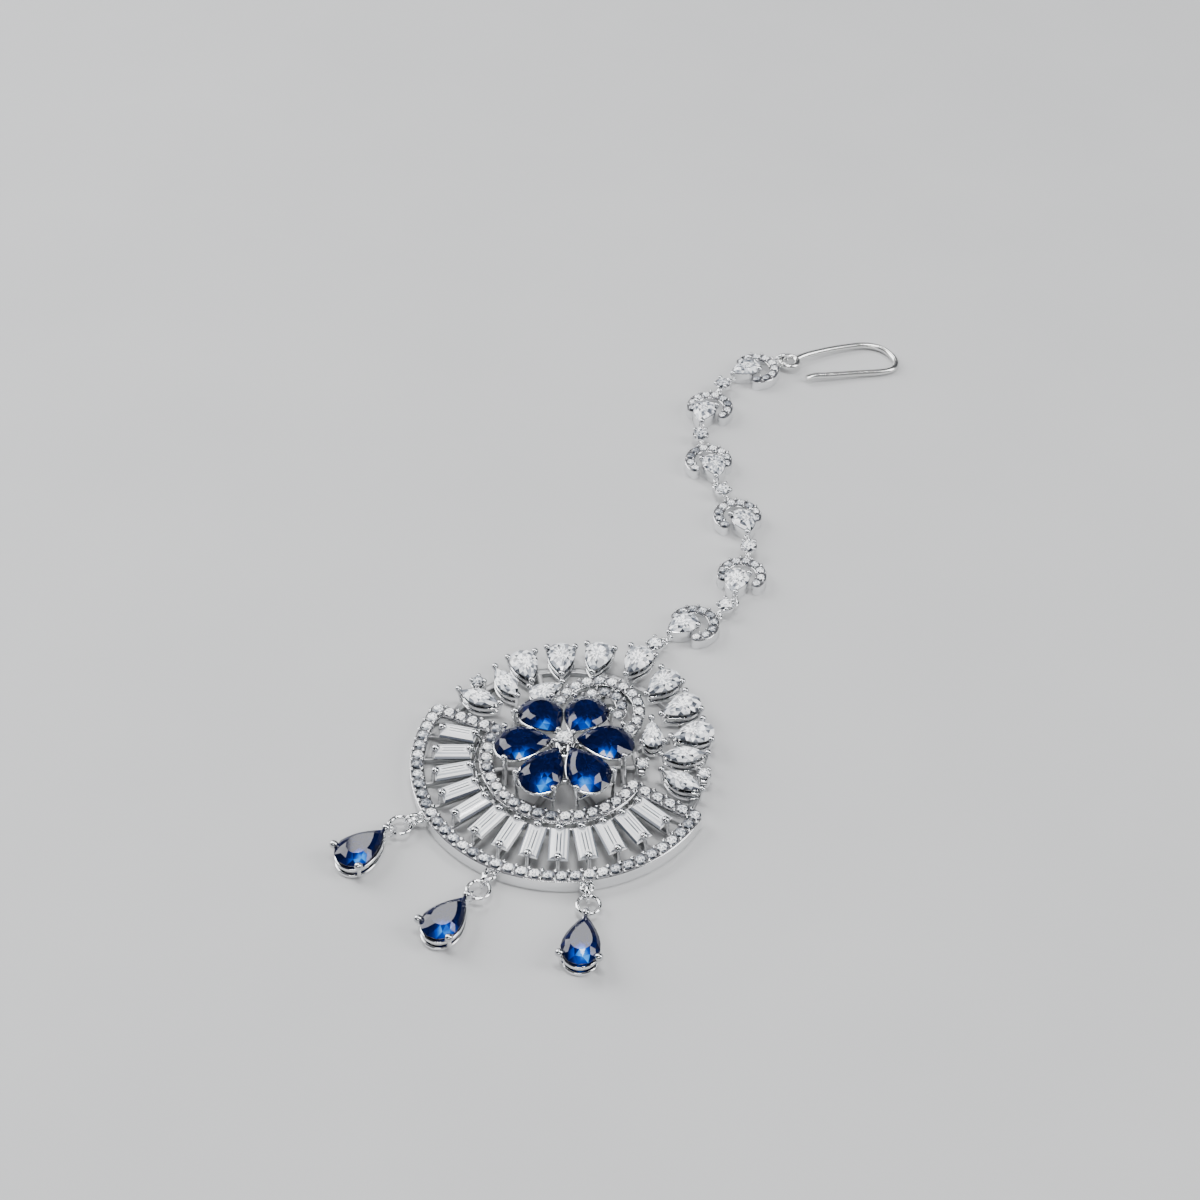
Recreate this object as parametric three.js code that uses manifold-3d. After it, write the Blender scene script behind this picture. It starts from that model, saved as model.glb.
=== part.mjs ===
// A maang tikka lying flat: a half-round pendant with a raised flower of blue pears, a fan of
// baguettes and a crown of white pears, three lying drops, a chain of crescent links and a hook.
// Millimetres, +Z up. The origin is the centre of the hub's flat underside, on the surface that the
// jewel lies on. +Y is the pendant's axis of symmetry, from the fan towards the chain.
import * as THREE from 'three';
import { ConvexGeometry } from 'three/addons/geometries/ConvexGeometry.js';
import { mergeVertices } from 'three/addons/utils/BufferGeometryUtils.js';
import Module from 'manifold-3d';

const wasm = await Module();
wasm.setup();

// Fan: two half rings of pave rail, the outer one lower, with baguettes between them
const outerRimRadius = 20.2;
const innerRimRadius = 10.7;
const outerRimTop = 2.2;
const innerRimTop = 3.1;
const railWidth = 2;
const railHeight = 1.7;
const baguetteLength = 5.2;
const baguetteWidth = 2.7;
const baguetteCount = 13;
const baguettePitch = 13.2;
const fanShift = 0.2;
const baguetteCrown = 0.55;
const baguettePavilion = 0.9;
const strutWidth = 0.6;
const strutTop = -1.4;
const strutHeight = 0.6;
const cornerPostRadius = 0.5;

// Pave stones, set in rows along the rails
const paveDiameter = 1.5;
const pavePitch = 1.82;
const paveRise = 0.35;
const paveSink = 0.1;
const paveTable = 0.6;

// Flower: six raised pears round a small round stone
const petalCount = 6;
const petalLength = 8;
const petalWidth = 6;
const petalTipRadius = 1.7;
const petalHeight = 6.2;
const petalTilt = 8;
const galleryWidth = 0.4;
const galleryDrop = 2.1;
const centreStoneDiameter = 2.3;
const centreStoneHeight = 7.3;
const centreProngRise = 0.25;
const cupDiameter = 4;
const cupFoot = 4.9;
const stemDiameter = 1.6;
const stemTop = 6.1;
const hubRadius = 2.4;
const spokeWidth = 0.9;
const spokeHeight = 0.8;

// Crescent under the upper petal, with a smaller arch inside it
const crescentRadius = 5.65;
const crescentCentre = 10;
const crescentSpan = 105;
const crescentRailWidth = 1.7;
const crescentPaveDiameter = 1.4;
const crescentMargin = 4;
const crescentPostDiameter = 1;
const bridgeSize = 1;
const archRadius = 2.85;
const archCentre = 10.7;
const archSpan = 100;

// Crown of white stones, on an outer and an inner back rail
const crownRadius = 21.3;
const crownPearLength = 6;
const crownPearWidth = 4;
const marquiseLength = 6;
const marquiseWidth = 3;
const smallPearLength = 5;
const smallPearWidth = 3;
const smallRoundDiameter = 2.1;
const smallRoundDrop = 0.5;
const crownHeight = 2.9;
const outerBackRailRadius = crownRadius - 2.7;
const innerBackRailRadius = innerRimRadius - 0.5;
const backRailWidth = 1;
const backRailHeight = 0.9;

// Cut stones: table, crown and pavilion, as shares of the stone's size and width
const tableShare = 0.56;
const crownShare = 0.17;
const pavilionShare = 0.36;
const flankShare = 0.42;
const flankWidth = 0.65;
const largeWidth = 5;

// Settings: a wall under each stone's edge, and prongs that lean out from it to ball heads
const wallThickness = 0.6;
const wallFoot = backRailHeight * 2 / 3;
const roundFoot = backRailHeight / 3;
const seatDrop = 0.7;
const prongRadius = 0.4;
const postRadius = 0.22;
const prongGap = 0.12;
const prongRise = 0.45;
const prongReach = prongRadius + prongGap;
const postOffset = -0.05;
const prongAlong = 0.62;
const prongAcross = 0.9;
const joinDepth = 0.1;

// Drops: a fixed loop, an upright ring, a flat ring and a blue pear in its setting
const dropPearLength = 8;
const dropPearWidth = 5.2;
const dropStoneHeight = 2.6;
const dropLoopRadius = 0.75;
const dropLinkRadius = 1.08;
const dropRingRadius = 1.5;
const dropEyeRadius = 0.85;
const dropWire = 0.3;
const dropEyeWire = 0.25;
const dropRingGap = 0.15;

// Chain: crescent links and small round connectors, hooked into each other
const chainPitch = 13.3;
const haloRadius = 2.9;
const haloRailWidth = 1.6;
const haloHeight = 1.7;
const haloSpan = 127;
const haloPaveDiameter = 1.15;
const haloPavePitch = 1.42;
const haloMargin = 8;
const linkPearLength = 5.2;
const linkPearWidth = 3.7;
const linkPearShift = 0.5;
const linkStoneHeight = 2.1;
const linkProngRise = 0.65;
const linkWindow = 1.3;
const neckWidth = 0.6;
const neckDepth = 0.5;
const connectorDiameter = 2.6;
const connectorTop = 1.9;
const connectorRingOffset = 1.2;
const chainRingRadius = 0.65;
const chainLoopRadius = 0.6;
const chainWire = 0.2;
const loopSink = 0.3;
const loopOverhang = 0.5;
const eyeletClearance = 0.2;

// Hook: an eye and a bent wire, of one piece
const hookWire = 0.5;
const hookEyeRadius = 1.35;
const hookLength = 17.8;
const hookWidth = 7.2;
const hookClearance = 0.2;
const hookRingRadius = 1.2;
const hookRingWire = 0.25;

// Headings of the chain's pieces from the pendant to the hook, in degrees from +X
const chainRoute = [78, 62, 76, 104, 112, 136, 142, 132, 120, 100, 90, 56];
const hookHeading = 34;

// Crown stones on the right side, mirrored to the left unless they stand on the axis. The radius
// is a share of the circle's, which is the crown's or the inner back rail's, and turn is the
// heading of the stone's tip from its radius.
const crownStones = [
  { name: 'crown_pear', kind: 'pear', circle: crownRadius, radius: 1, offAxis: 0, turn: 180 },
  { name: 'crown_pear', kind: 'pear', circle: crownRadius, radius: 0.932, offAxis: 15.2, turn: 180 },
  { name: 'crown_pear', kind: 'pear', circle: crownRadius, radius: 0.894, offAxis: 30.3, turn: 180 },
  { name: 'crown_pear', kind: 'pear', circle: crownRadius, radius: 0.869, offAxis: 46.4, turn: 180 },
  { name: 'crown_marquise', kind: 'marquise', circle: crownRadius, radius: 0.777, offAxis: 58.8, turn: 180 },
  { name: 'crown_marquise', kind: 'marquise', circle: crownRadius, radius: 0.775, offAxis: 75.2, turn: 161 },
  { name: 'crown_small_pear', kind: 'smallPear', circle: crownRadius, radius: 0.613, offAxis: 40.6, turn: 71 },
  { name: 'crown_round', kind: 'round', circle: crownRadius, radius: 0.904, offAxis: 68.4, turn: 0 },
  { name: 'crown_round', kind: 'round', circle: innerBackRailRadius, radius: 1.048, offAxis: 64.8, turn: 0 },
];

// Drops by the place on the outer rim, the heading of the rings and that of the pear
const drops = [
  { name: 'left', rim: 235, rings: 236, pear: 252 },
  { name: 'middle', rim: 272, rings: 270, pear: 262 },
  { name: 'right', rim: 307, rings: 303, pear: 291 },
];

const silver = new THREE.MeshStandardMaterial({ color: 0xd9dbde, roughness: 0.18, metalness: 1 });
const crystal = new THREE.MeshStandardMaterial({ color: 0xe9edf2, roughness: 0.05, metalness: 0 });
const sapphire = new THREE.MeshStandardMaterial({ color: 0x0b2a86, roughness: 0.05, metalness: 0 });

const jewel = new THREE.Group();
const degrees = THREE.MathUtils.degToRad;

// Manifold bodies from three.js geometry, and back
function solid(geometry) {
  const bare = geometry.clone();
  bare.deleteAttribute('normal');
  bare.deleteAttribute('uv');
  const merged = mergeVertices(bare, 1e-5);
  return new wasm.Manifold(new wasm.Mesh({
    numProp: 3,
    vertProperties: new Float32Array(merged.attributes.position.array),
    triVerts: new Uint32Array(merged.index.array),
  }));
}

function join(bodies) {
  return bodies.reduce((whole, body) => whole.add(body));
}

function addPiece(name, body, material) {
  const mesh = body.getMesh();
  const geometry = new THREE.BufferGeometry();
  geometry.setAttribute('position', new THREE.BufferAttribute(mesh.vertProperties, 3));
  geometry.setIndex(new THREE.BufferAttribute(mesh.triVerts, 1));
  geometry.computeVertexNormals();
  const piece = new THREE.Mesh(geometry, material);
  piece.name = name;
  jewel.add(piece);
}

function placed(body, matrix) {
  return body.transform(matrix.toArray());
}

// A place on the floor plane: x, y, a lift, and a heading about +Z
function spot(x, y, z, heading) {
  return new THREE.Matrix4().makeRotationZ(degrees(heading)).setPosition(x, y, z);
}

function polar(radius, angle, z, turn = 0) {
  return spot(radius * Math.cos(degrees(angle)), radius * Math.sin(degrees(angle)), z, angle + turn);
}

// Plane outlines, counter-clockwise, with the stone's tip towards -X and its middle at the origin.
// The pear has its tip, a corner on each flank, and half a circle with more steps on a large stone.
function pearOutline(length, width, inset = 0) {
  const roundRadius = width / 2;
  const flankX = -length / 2 + (length - roundRadius) * flankShare;
  const flankY = roundRadius * flankWidth;
  const points = [[-length / 2, 0], [flankX, -flankY]];
  const steps = width > largeWidth ? 6 : 4;
  for (let step = 0; step <= steps; step += 1) {
    const angle = -Math.PI / 2 + Math.PI * step / steps;
    const x = length / 2 - roundRadius + roundRadius * Math.cos(angle);
    points.push([x, roundRadius * Math.sin(angle)]);
  }
  points.push([flankX, flankY]);
  return insetOutline(points, inset);
}

function marquiseOutline(length, width, inset = 0) {
  const points = [];
  for (const side of [-1, 1]) {
    for (const share of [-1, -0.5, 0, 0.5]) {
      points.push([-side * share * length / 2, side * width / 2 * (1 - share * share)]);
    }
  }
  return insetOutline(points, inset);
}

function regularOutline(diameter, sides) {
  const points = [];
  for (let side = 0; side < sides; side += 1) {
    const angle = 2 * Math.PI * (side + 0.5) / sides;
    points.push([diameter / 2 * Math.cos(angle), diameter / 2 * Math.sin(angle)]);
  }
  return points;
}

function roundOutline(diameter) {
  return regularOutline(diameter, 8);
}

function boxOutline(length, width) {
  const [x, y] = [length / 2, width / 2];
  return [[-x, -y], [x, -y], [x, y], [-x, y]];
}

// An outline drawn in by a wall's thickness, as shares of its length and width
function insetOutline(points, inset) {
  const xs = points.map(([x]) => x);
  const ys = points.map(([, y]) => y);
  const alongShare = 1 - 2 * inset / (Math.max(...xs) - Math.min(...xs));
  const acrossShare = 1 - 2 * inset / (Math.max(...ys) - Math.min(...ys));
  return points.map(([x, y]) => [x * alongShare, y * acrossShare]);
}

function extrude(outline, hole, low, high) {
  const shape = new THREE.Shape(outline.map(([x, y]) => new THREE.Vector2(x, y)));
  if (hole) {
    shape.holes.push(new THREE.Path(hole.map(([x, y]) => new THREE.Vector2(x, y))));
  }
  const geometry = new THREE.ExtrudeGeometry(shape, { depth: high - low, bevelEnabled: false });
  return solid(geometry.translate(0, 0, low));
}

// A bar along +X from one radius to another
function bar(from, to, width, low, high) {
  const geometry = new THREE.BoxGeometry(to - from, width, high - low);
  return solid(geometry.translate((from + to) / 2, 0, (low + high) / 2));
}

// A curved rail with a flat top, along an arc round the origin
function arcRail(radius, width, from, to, steps, low, high) {
  const outline = [];
  for (let step = 0; step <= steps; step += 1) {
    const angle = degrees(from + (to - from) * step / steps);
    outline.push([(radius + width / 2) * Math.cos(angle), (radius + width / 2) * Math.sin(angle)]);
  }
  for (let step = steps; step >= 0; step -= 1) {
    const angle = degrees(from + (to - from) * step / steps);
    outline.push([(radius - width / 2) * Math.cos(angle), (radius - width / 2) * Math.sin(angle)]);
  }
  return extrude(outline, null, low, high);
}

// A cut stone with its girdle at z = 0: the hull of its table, its girdle and its culet, which lies
// under the round end of a pear
function cutStone({ outline, length, width }) {
  const culetX = outline === pearOutline ? (length - width) / 2 : 0;
  const corners = [new THREE.Vector3(culetX, 0, -width * pavilionShare)];
  for (const [share, z] of [[tableShare, width * crownShare], [1, 0]]) {
    const points = outline(length, width);
    corners.push(...points.map(([x, y]) => new THREE.Vector3(x * share, y * share, z)));
  }
  return solid(new ConvexGeometry(corners));
}

// A small round stone's crown: nine facets between its girdle and its table
function paveStone(diameter) {
  const girdle = regularOutline(diameter, 6);
  const table = regularOutline(diameter * paveTable, 3);
  return solid(new ConvexGeometry([
    ...girdle.map(([x, y]) => new THREE.Vector3(x, y, -paveSink)),
    ...table.map(([x, y]) => new THREE.Vector3(x, y, paveRise)),
  ]));
}

// Stones at an even pitch along an arc of a rail
function paveArc(radius, from, to, pitch, diameter, top) {
  const gaps = Math.round(degrees(to - from) * radius / pitch);
  return Array.from({ length: gaps + 1 }, (_, index) => (
    placed(paveStone(diameter), polar(radius, from + (to - from) * index / gaps, top))));
}

// A prong: a post that leans out along +X and widens to its head, a little above the stone's edge
function prong(low, headHeight, lean = 0) {
  const foot = regularOutline(2 * postRadius, 4);
  const head = regularOutline(2 * prongRadius, 4);
  return solid(new ConvexGeometry([
    ...foot.map(([x, y]) => new THREE.Vector3(x, y, low)),
    ...head.map(([x, y]) => new THREE.Vector3(lean + x, y, headHeight)),
  ]));
}

function ring(radius, wire) {
  return solid(new THREE.TorusGeometry(radius, wire, 5, 10));
}

function uprightRing(radius, wire) {
  return solid(new THREE.TorusGeometry(radius, wire, 5, 10).rotateX(Math.PI / 2));
}

// A soldered eyelet: a flat lug of the wire's thickness with a hole through it
function eyelet(radius, wire) {
  const hole = regularOutline(2 * (radius - wire), 6);
  return extrude(roundOutline(2 * (radius + wire)), hole, -wire, wire);
}

// A setting: a wall that follows the stone's outline, and ball prongs just clear of its edge. Each
// prong has a share of the half length and of the half width, and a foot height.
function setting({ outline, length, width, prongs }, girdle, foot) {
  const wallTop = girdle - seatDrop;
  const inner = outline(length, width, wallThickness);
  const bodies = [extrude(outline(length, width), inner, foot, wallTop)];
  for (const { along, across } of prongs) {
    const heading = Math.atan2(across * length, along * width);
    const x = along * length / 2 + postOffset * Math.cos(heading);
    const y = across * width / 2 + postOffset * Math.sin(heading);
    const post = prong(foot, girdle + prongRise, prongReach - postOffset);
    bodies.push(placed(post, spot(x, y, 0, THREE.MathUtils.radToDeg(heading))));
  }
  return join(bodies);
}

function solidAt(body, x, y, z = 0) {
  return placed(body, spot(x, y, z, 0));
}

const sideProngs = [-1, 1].map((side) => ({ along: prongAlong, across: side * prongAcross }));
const pearProngs = [{ along: -1, across: 0 }, ...sideProngs];
const marquiseProngs = [{ along: -1, across: 0 }, { along: 1, across: 0 }];

// Every cut stone that is a piece of its own, by its outline and size
function pearStone(length, width) {
  return { outline: pearOutline, length, width, prongs: pearProngs };
}

const stones = {
  petal: pearStone(petalLength, petalWidth),
  drop: pearStone(dropPearLength, dropPearWidth),
  link: pearStone(linkPearLength, linkPearWidth),
  pear: pearStone(crownPearLength, crownPearWidth),
  smallPear: pearStone(smallPearLength, smallPearWidth),
  marquise: {
    outline: marquiseOutline, length: marquiseLength, width: marquiseWidth, prongs: marquiseProngs,
  },
  centre: { outline: roundOutline, length: centreStoneDiameter, width: centreStoneDiameter },
};

// Small round stone in a cup with four prongs, soldered as one
function roundSetting(diameter, low, top, rings = []) {
  const bodies = [
    extrude(roundOutline(diameter), null, low, top),
    placed(paveStone(diameter - 4 * postRadius), spot(0, 0, top, 0)),
  ];
  for (let index = 0; index < 4; index += 1) {
    const post = prong(top - joinDepth, top + prongRise, prongRadius - postRadius);
    bodies.push(placed(post, polar(diameter / 2 - postRadius, 45 + 90 * index, 0)));
  }
  return join(bodies.concat(rings));
}

// The fan's own slope, from the inner rim down to the outer one
const fanSlope = Math.atan2(innerRimTop - outerRimTop, outerRimRadius - innerRimRadius);
const fanMiddle = (outerRimRadius + innerRimRadius) / 2 - fanShift;
const fanMiddleTop = innerRimTop - (fanMiddle - innerRimRadius) * Math.tan(fanSlope);

function fanPlace(angle) {
  const slope = new THREE.Matrix4().makeRotationY(fanSlope).setPosition(fanMiddle, 0, fanMiddleTop);
  return new THREE.Matrix4().makeRotationZ(degrees(angle)).multiply(slope);
}

function baguetteAngle(index) {
  return 270 + (index - (baguetteCount - 1) / 2) * baguettePitch;
}

function fanMetal() {
  const bodies = [
    arcRail(outerRimRadius, railWidth, 180, 360, 16, 0, outerRimTop),
    arcRail(innerRimRadius, railWidth, 180, 360, 12, innerRimTop - railHeight, innerRimTop),
    ...paveArc(outerRimRadius, 180, 360, pavePitch, paveDiameter, outerRimTop),
    ...paveArc(innerRimRadius, 180, 360, pavePitch, paveDiameter, innerRimTop),
  ];
  // The two straight ends of the fan, on its diameter
  const reach = (outerRimRadius - innerRimRadius) / 2;
  const gaps = Math.round(2 * reach / pavePitch);
  const sideProfile = new THREE.Shape([
    new THREE.Vector2(innerRimRadius - railWidth / 2, innerRimTop - railHeight),
    new THREE.Vector2(innerRimRadius, innerRimTop - railHeight),
    new THREE.Vector2(outerRimRadius - railWidth / 2, 0),
    new THREE.Vector2(outerRimRadius + railWidth / 2, 0),
    new THREE.Vector2(outerRimRadius + railWidth / 2, outerRimTop),
    new THREE.Vector2(outerRimRadius - railWidth / 2, outerRimTop),
    new THREE.Vector2(innerRimRadius + railWidth / 2, innerRimTop),
    new THREE.Vector2(innerRimRadius - railWidth / 2, innerRimTop),
  ]);
  const end = new THREE.ExtrudeGeometry(sideProfile, { depth: railWidth, bevelEnabled: false });
  end.rotateX(Math.PI / 2).translate(0, railWidth / 2, 0);
  for (const angle of [0, 180]) {
    bodies.push(placed(solid(end), polar(0, angle, 0)));
    const section = regularOutline(2 * cornerPostRadius, 6);
    const cornerPost = extrude(section, null, 0, innerRimTop - joinDepth);
    bodies.push(placed(cornerPost, polar(innerRimRadius - cornerPostRadius, angle, 0)));
    for (let index = 1; index < gaps; index += 1) {
      const offset = (index / gaps - 0.5) * 2 * reach + fanShift;
      bodies.push(placed(placed(paveStone(paveDiameter), spot(offset, 0, 0, 0)), fanPlace(angle)));
    }
  }
  // A strut and two ball prongs for each baguette
  const prongPlace = baguetteLength / 2 + prongReach;
  for (let index = 0; index < baguetteCount; index += 1) {
    const strut = bar(-reach, reach, strutWidth, strutTop - strutHeight, strutTop);
    const post = prong(strutTop - joinDepth, baguetteCrown);
    const posts = [-1, 1].map((side) => solidAt(post, side * prongPlace, 0));
    bodies.push(placed(join([strut, ...posts]), fanPlace(baguetteAngle(index))));
  }
  return bodies;
}

// Step-cut oblong with its girdle at z = 0: shares of the length and the width, and a height
function baguette() {
  const steps = [
    [0.78, 0.34, baguetteCrown], [0.9, 0.7, baguetteCrown * 0.64], [1, 1, 0],
    [0.72, 0.2, -baguettePavilion],
  ];
  return solid(new ConvexGeometry(steps.flatMap(([long, wide, z]) => (
    boxOutline(baguetteLength * long, baguetteWidth * wide)
      .map(([x, y]) => new THREE.Vector3(x, y, z))))));
}

// Flower: hub, spokes, the petals' raised settings and the centre stone's cup
const petalMiddleRadius = petalTipRadius + petalLength / 2 * Math.cos(degrees(petalTilt));
const petalAngles = Array.from({ length: petalCount }, (_, index) => 30 + 360 / petalCount * index);

function petalPlace(angle) {
  const slope = new THREE.Matrix4().makeRotationY(degrees(petalTilt));
  slope.setPosition(petalMiddleRadius, 0, petalHeight);
  return new THREE.Matrix4().makeRotationZ(degrees(angle)).multiply(slope);
}

function flowerMetal() {
  const bodies = [
    extrude(regularOutline(2 * hubRadius, 8), null, 0, spokeHeight),
    extrude(regularOutline(stemDiameter, 6), null, 0, stemTop),
    extrude(regularOutline(cupDiameter, 6), null, cupFoot, cupFoot + wallThickness),
  ];
  for (let index = 0; index < 4; index += 1) {
    const post = prong(cupFoot + joinDepth, centreStoneHeight + centreProngRise);
    const place = polar(centreStoneDiameter / 2 + postRadius + prongGap, 60 + 90 * index, 0);
    bodies.push(placed(post, place));
  }
  const footRadius = petalMiddleRadius + prongAlong * petalLength / 2;
  const footReach = prongAcross * petalWidth / 2;
  const footEnd = footReach + postRadius;
  const galleryTop = petalHeight - galleryDrop;
  for (const angle of petalAngles) {
    // Two of the six spokes end on the open side, where the inner back rail takes the rim's place
    const reach = angle > 180 ? innerRimRadius : innerBackRailRadius;
    bodies.push(placed(bar(0, reach, spokeWidth, 0, spokeHeight), polar(0, angle, 0)));
    // A foot across the spoke, the two long posts that rise from it, and a wire between them
    const across = polar(footRadius, angle, 0, 90);
    bodies.push(placed(bar(-footEnd, footEnd, spokeWidth, 0, spokeHeight), across));
    const gallery = bar(-footEnd, footEnd, galleryWidth, galleryTop - galleryWidth, galleryTop);
    bodies.push(placed(gallery, across));
    for (const side of [-1, 1]) {
      const post = prong(spokeHeight - joinDepth, petalHeight + prongRise, prongReach);
      const place = polar(footRadius, angle, 0).multiply(spot(0, side * footReach, 0, side * 90));
      bodies.push(placed(post, place));
    }
  }
  return bodies;
}

// Crescent and its inner arch, in the plane of the inner rim
function crescentMetal() {
  const low = innerRimTop - railHeight;
  const bodies = [];
  const arches = [
    { radius: crescentRadius, centre: crescentCentre, span: crescentSpan, steps: 11 },
    { radius: archRadius, centre: archCentre, span: archSpan, steps: 8 },
  ];
  for (const { radius, centre, span, steps } of arches) {
    const place = spot(0, centre, 0, 90);
    const rail = arcRail(radius, crescentRailWidth, -span, span, steps, low, innerRimTop);
    const end = span - crescentMargin;
    const row = paveArc(radius, -end, end, pavePitch, crescentPaveDiameter, innerRimTop);
    bodies.push(...[rail, ...row].map((body) => placed(body, place)));
  }
  const crescentTop = crescentCentre + crescentRadius;
  const bridge = bar(archCentre + archRadius, crescentTop, bridgeSize, low, low + bridgeSize);
  bodies.push(placed(bridge, polar(0, 90, 0)));
  const post = extrude(regularOutline(crescentPostDiameter, 6), null, 0, low + joinDepth);
  for (const heading of [90, 90 + crescentSpan, 90 - crescentSpan]) {
    const foot = polar(crescentRadius, heading, 0);
    bodies.push(placed(placed(post, foot), spot(0, crescentCentre, 0, 0)));
  }
  return bodies;
}

// Back rails, spokes and settings that carry the crown
function crownPlaces() {
  return crownStones.flatMap((stone) => {
    const sides = stone.offAxis === 0 ? [0] : [1, -1];
    return sides.map((side) => {
      const angle = 90 - side * stone.offAxis;
      const turn = side < 0 ? -stone.turn : stone.turn;
      return { ...stone, angle, place: polar(stone.radius * stone.circle, angle, 0, turn + 180) };
    });
  });
}

function crownMetal() {
  const bodies = [arcRail(outerBackRailRadius, backRailWidth, 0, 180, 10, 0, backRailHeight)];
  for (const [from, to] of [[0, 60], [120, 180]]) {
    bodies.push(arcRail(innerBackRailRadius, backRailWidth, from, to, 4, 0, backRailHeight));
  }
  bodies.push(placed(bar(0, outerBackRailRadius, spokeWidth, 0, spokeHeight), polar(0, 90, 0)));
  const smallPear = crownStones.find(({ kind }) => kind === 'smallPear');
  for (const side of [1, -1]) {
    const spoke = bar(innerBackRailRadius, outerBackRailRadius, spokeWidth, 0, spokeHeight);
    bodies.push(placed(spoke, polar(0, 90 - side * smallPear.offAxis, 0)));
  }
  for (const { kind, place } of crownPlaces()) {
    if (kind === 'round') {
      const cup = roundSetting(smallRoundDiameter, roundFoot, crownHeight - smallRoundDrop);
      bodies.push(placed(cup, place));
    } else {
      bodies.push(placed(setting(stones[kind], crownHeight, wallFoot), place));
    }
  }
  return bodies;
}

// Loops soldered to the frame: one for the chain, three for the drops
const chainLoopHeight = chainRingRadius + chainWire;
const dropLoopHeight = dropLinkRadius + dropWire;
const chainStart = crownRadius + crownPearLength / 2 + chainLoopRadius - loopSink;
const dropStart = outerRimRadius + railWidth / 2 + dropLoopRadius - dropWire;

function loopMetal() {
  const bodies = [placed(eyelet(chainLoopRadius, chainWire), polar(chainStart, 90, chainLoopHeight))];
  for (const { rim } of drops) {
    bodies.push(placed(eyelet(dropLoopRadius, dropWire), polar(dropStart, rim, dropLoopHeight)));
  }
  return bodies;
}

const frameBodies = [fanMetal(), flowerMetal(), crescentMetal(), crownMetal(), loopMetal()].flat();
addPiece('pendant_frame', join(frameBodies), silver);

for (let index = 0; index < baguetteCount; index += 1) {
  addPiece(`baguette_${index + 1}`, placed(baguette(), fanPlace(baguetteAngle(index))), crystal);
}

petalAngles.forEach((angle, index) => {
  addPiece(`petal_${index + 1}`, placed(cutStone(stones.petal), petalPlace(angle)), sapphire);
});
addPiece('centre_stone', solidAt(cutStone(stones.centre), 0, 0, centreStoneHeight), crystal);

const counters = {};
for (const { name, kind, place } of crownPlaces()) {
  if (kind !== 'round') {
    counters[name] = (counters[name] ?? 0) + 1;
    const stone = solidAt(cutStone(stones[kind]), 0, 0, crownHeight);
    addPiece(`${name}_${counters[name]}`, placed(stone, place), crystal);
  }
}

// Drops, each laid out from its loop along two headings
function along(start, heading, distance) {
  const angle = degrees(heading);
  const step = new THREE.Vector2(Math.cos(angle), Math.sin(angle)).multiplyScalar(distance);
  return step.add(start);
}

for (const { name, rim, rings, pear } of drops) {
  const hole = along(new THREE.Vector2(), rim, dropStart);
  const link = along(hole, rings, dropLinkRadius);
  const upright = uprightRing(dropLinkRadius, dropWire);
  addPiece(`drop_link_${name}`, placed(upright, spot(link.x, link.y, dropLoopHeight, rings)), silver);
  const flatReach = dropLinkRadius - 2 * dropWire - dropRingGap + dropRingRadius;
  const flat = along(link, rings, flatReach);
  const flatRing = solidAt(ring(dropRingRadius, dropWire), flat.x, flat.y, dropLoopHeight);
  addPiece(`drop_ring_${name}`, flatRing, silver);
  // The pear's own eyelet stands upright on the flat ring's far side
  const eyeReach = dropPearLength / 2 + dropEyeRadius + joinDepth;
  const middle = along(flat, pear, dropRingRadius + dropRingGap + eyeReach);
  const place = spot(middle.x, middle.y, 0, pear);
  const upended = new THREE.Matrix4().makeRotationX(Math.PI / 2);
  const eye = placed(eyelet(dropEyeRadius, dropEyeWire), upended);
  const basket = setting(stones.drop, dropStoneHeight, 0);
  const dropMetal = join([basket, solidAt(eye, -eyeReach, 0, dropLoopHeight)]);
  addPiece(`drop_setting_${name}`, placed(dropMetal, place), silver);
  const stone = solidAt(cutStone(stones.drop), 0, 0, dropStoneHeight);
  addPiece(`drop_stone_${name}`, placed(stone, place), sapphire);
}

// One connector: a round stone in its cup, with an upright ring at each end
const connectorReach = connectorRingOffset + chainRingRadius;

function connector() {
  const upright = uprightRing(chainRingRadius, chainWire);
  const rings = [-1, 1].map((side) => (
    solidAt(upright, side * connectorRingOffset, 0, chainLoopHeight)));
  const cupFoot = chainLoopHeight + chainWire + eyeletClearance;
  return roundSetting(connectorDiameter, cupFoot, connectorTop, rings);
}

// One crescent link: pave crescent round a white pear whose tip points back to the pendant
const linkReach = (chainPitch - 2 * connectorReach) / 2;
const haloOuter = haloRadius + haloRailWidth / 2;
const haloCentre = linkReach - loopOverhang - haloOuter;
const lastRingPlace = haloCentre + haloOuter + hookRingRadius - hookRingWire;

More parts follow.
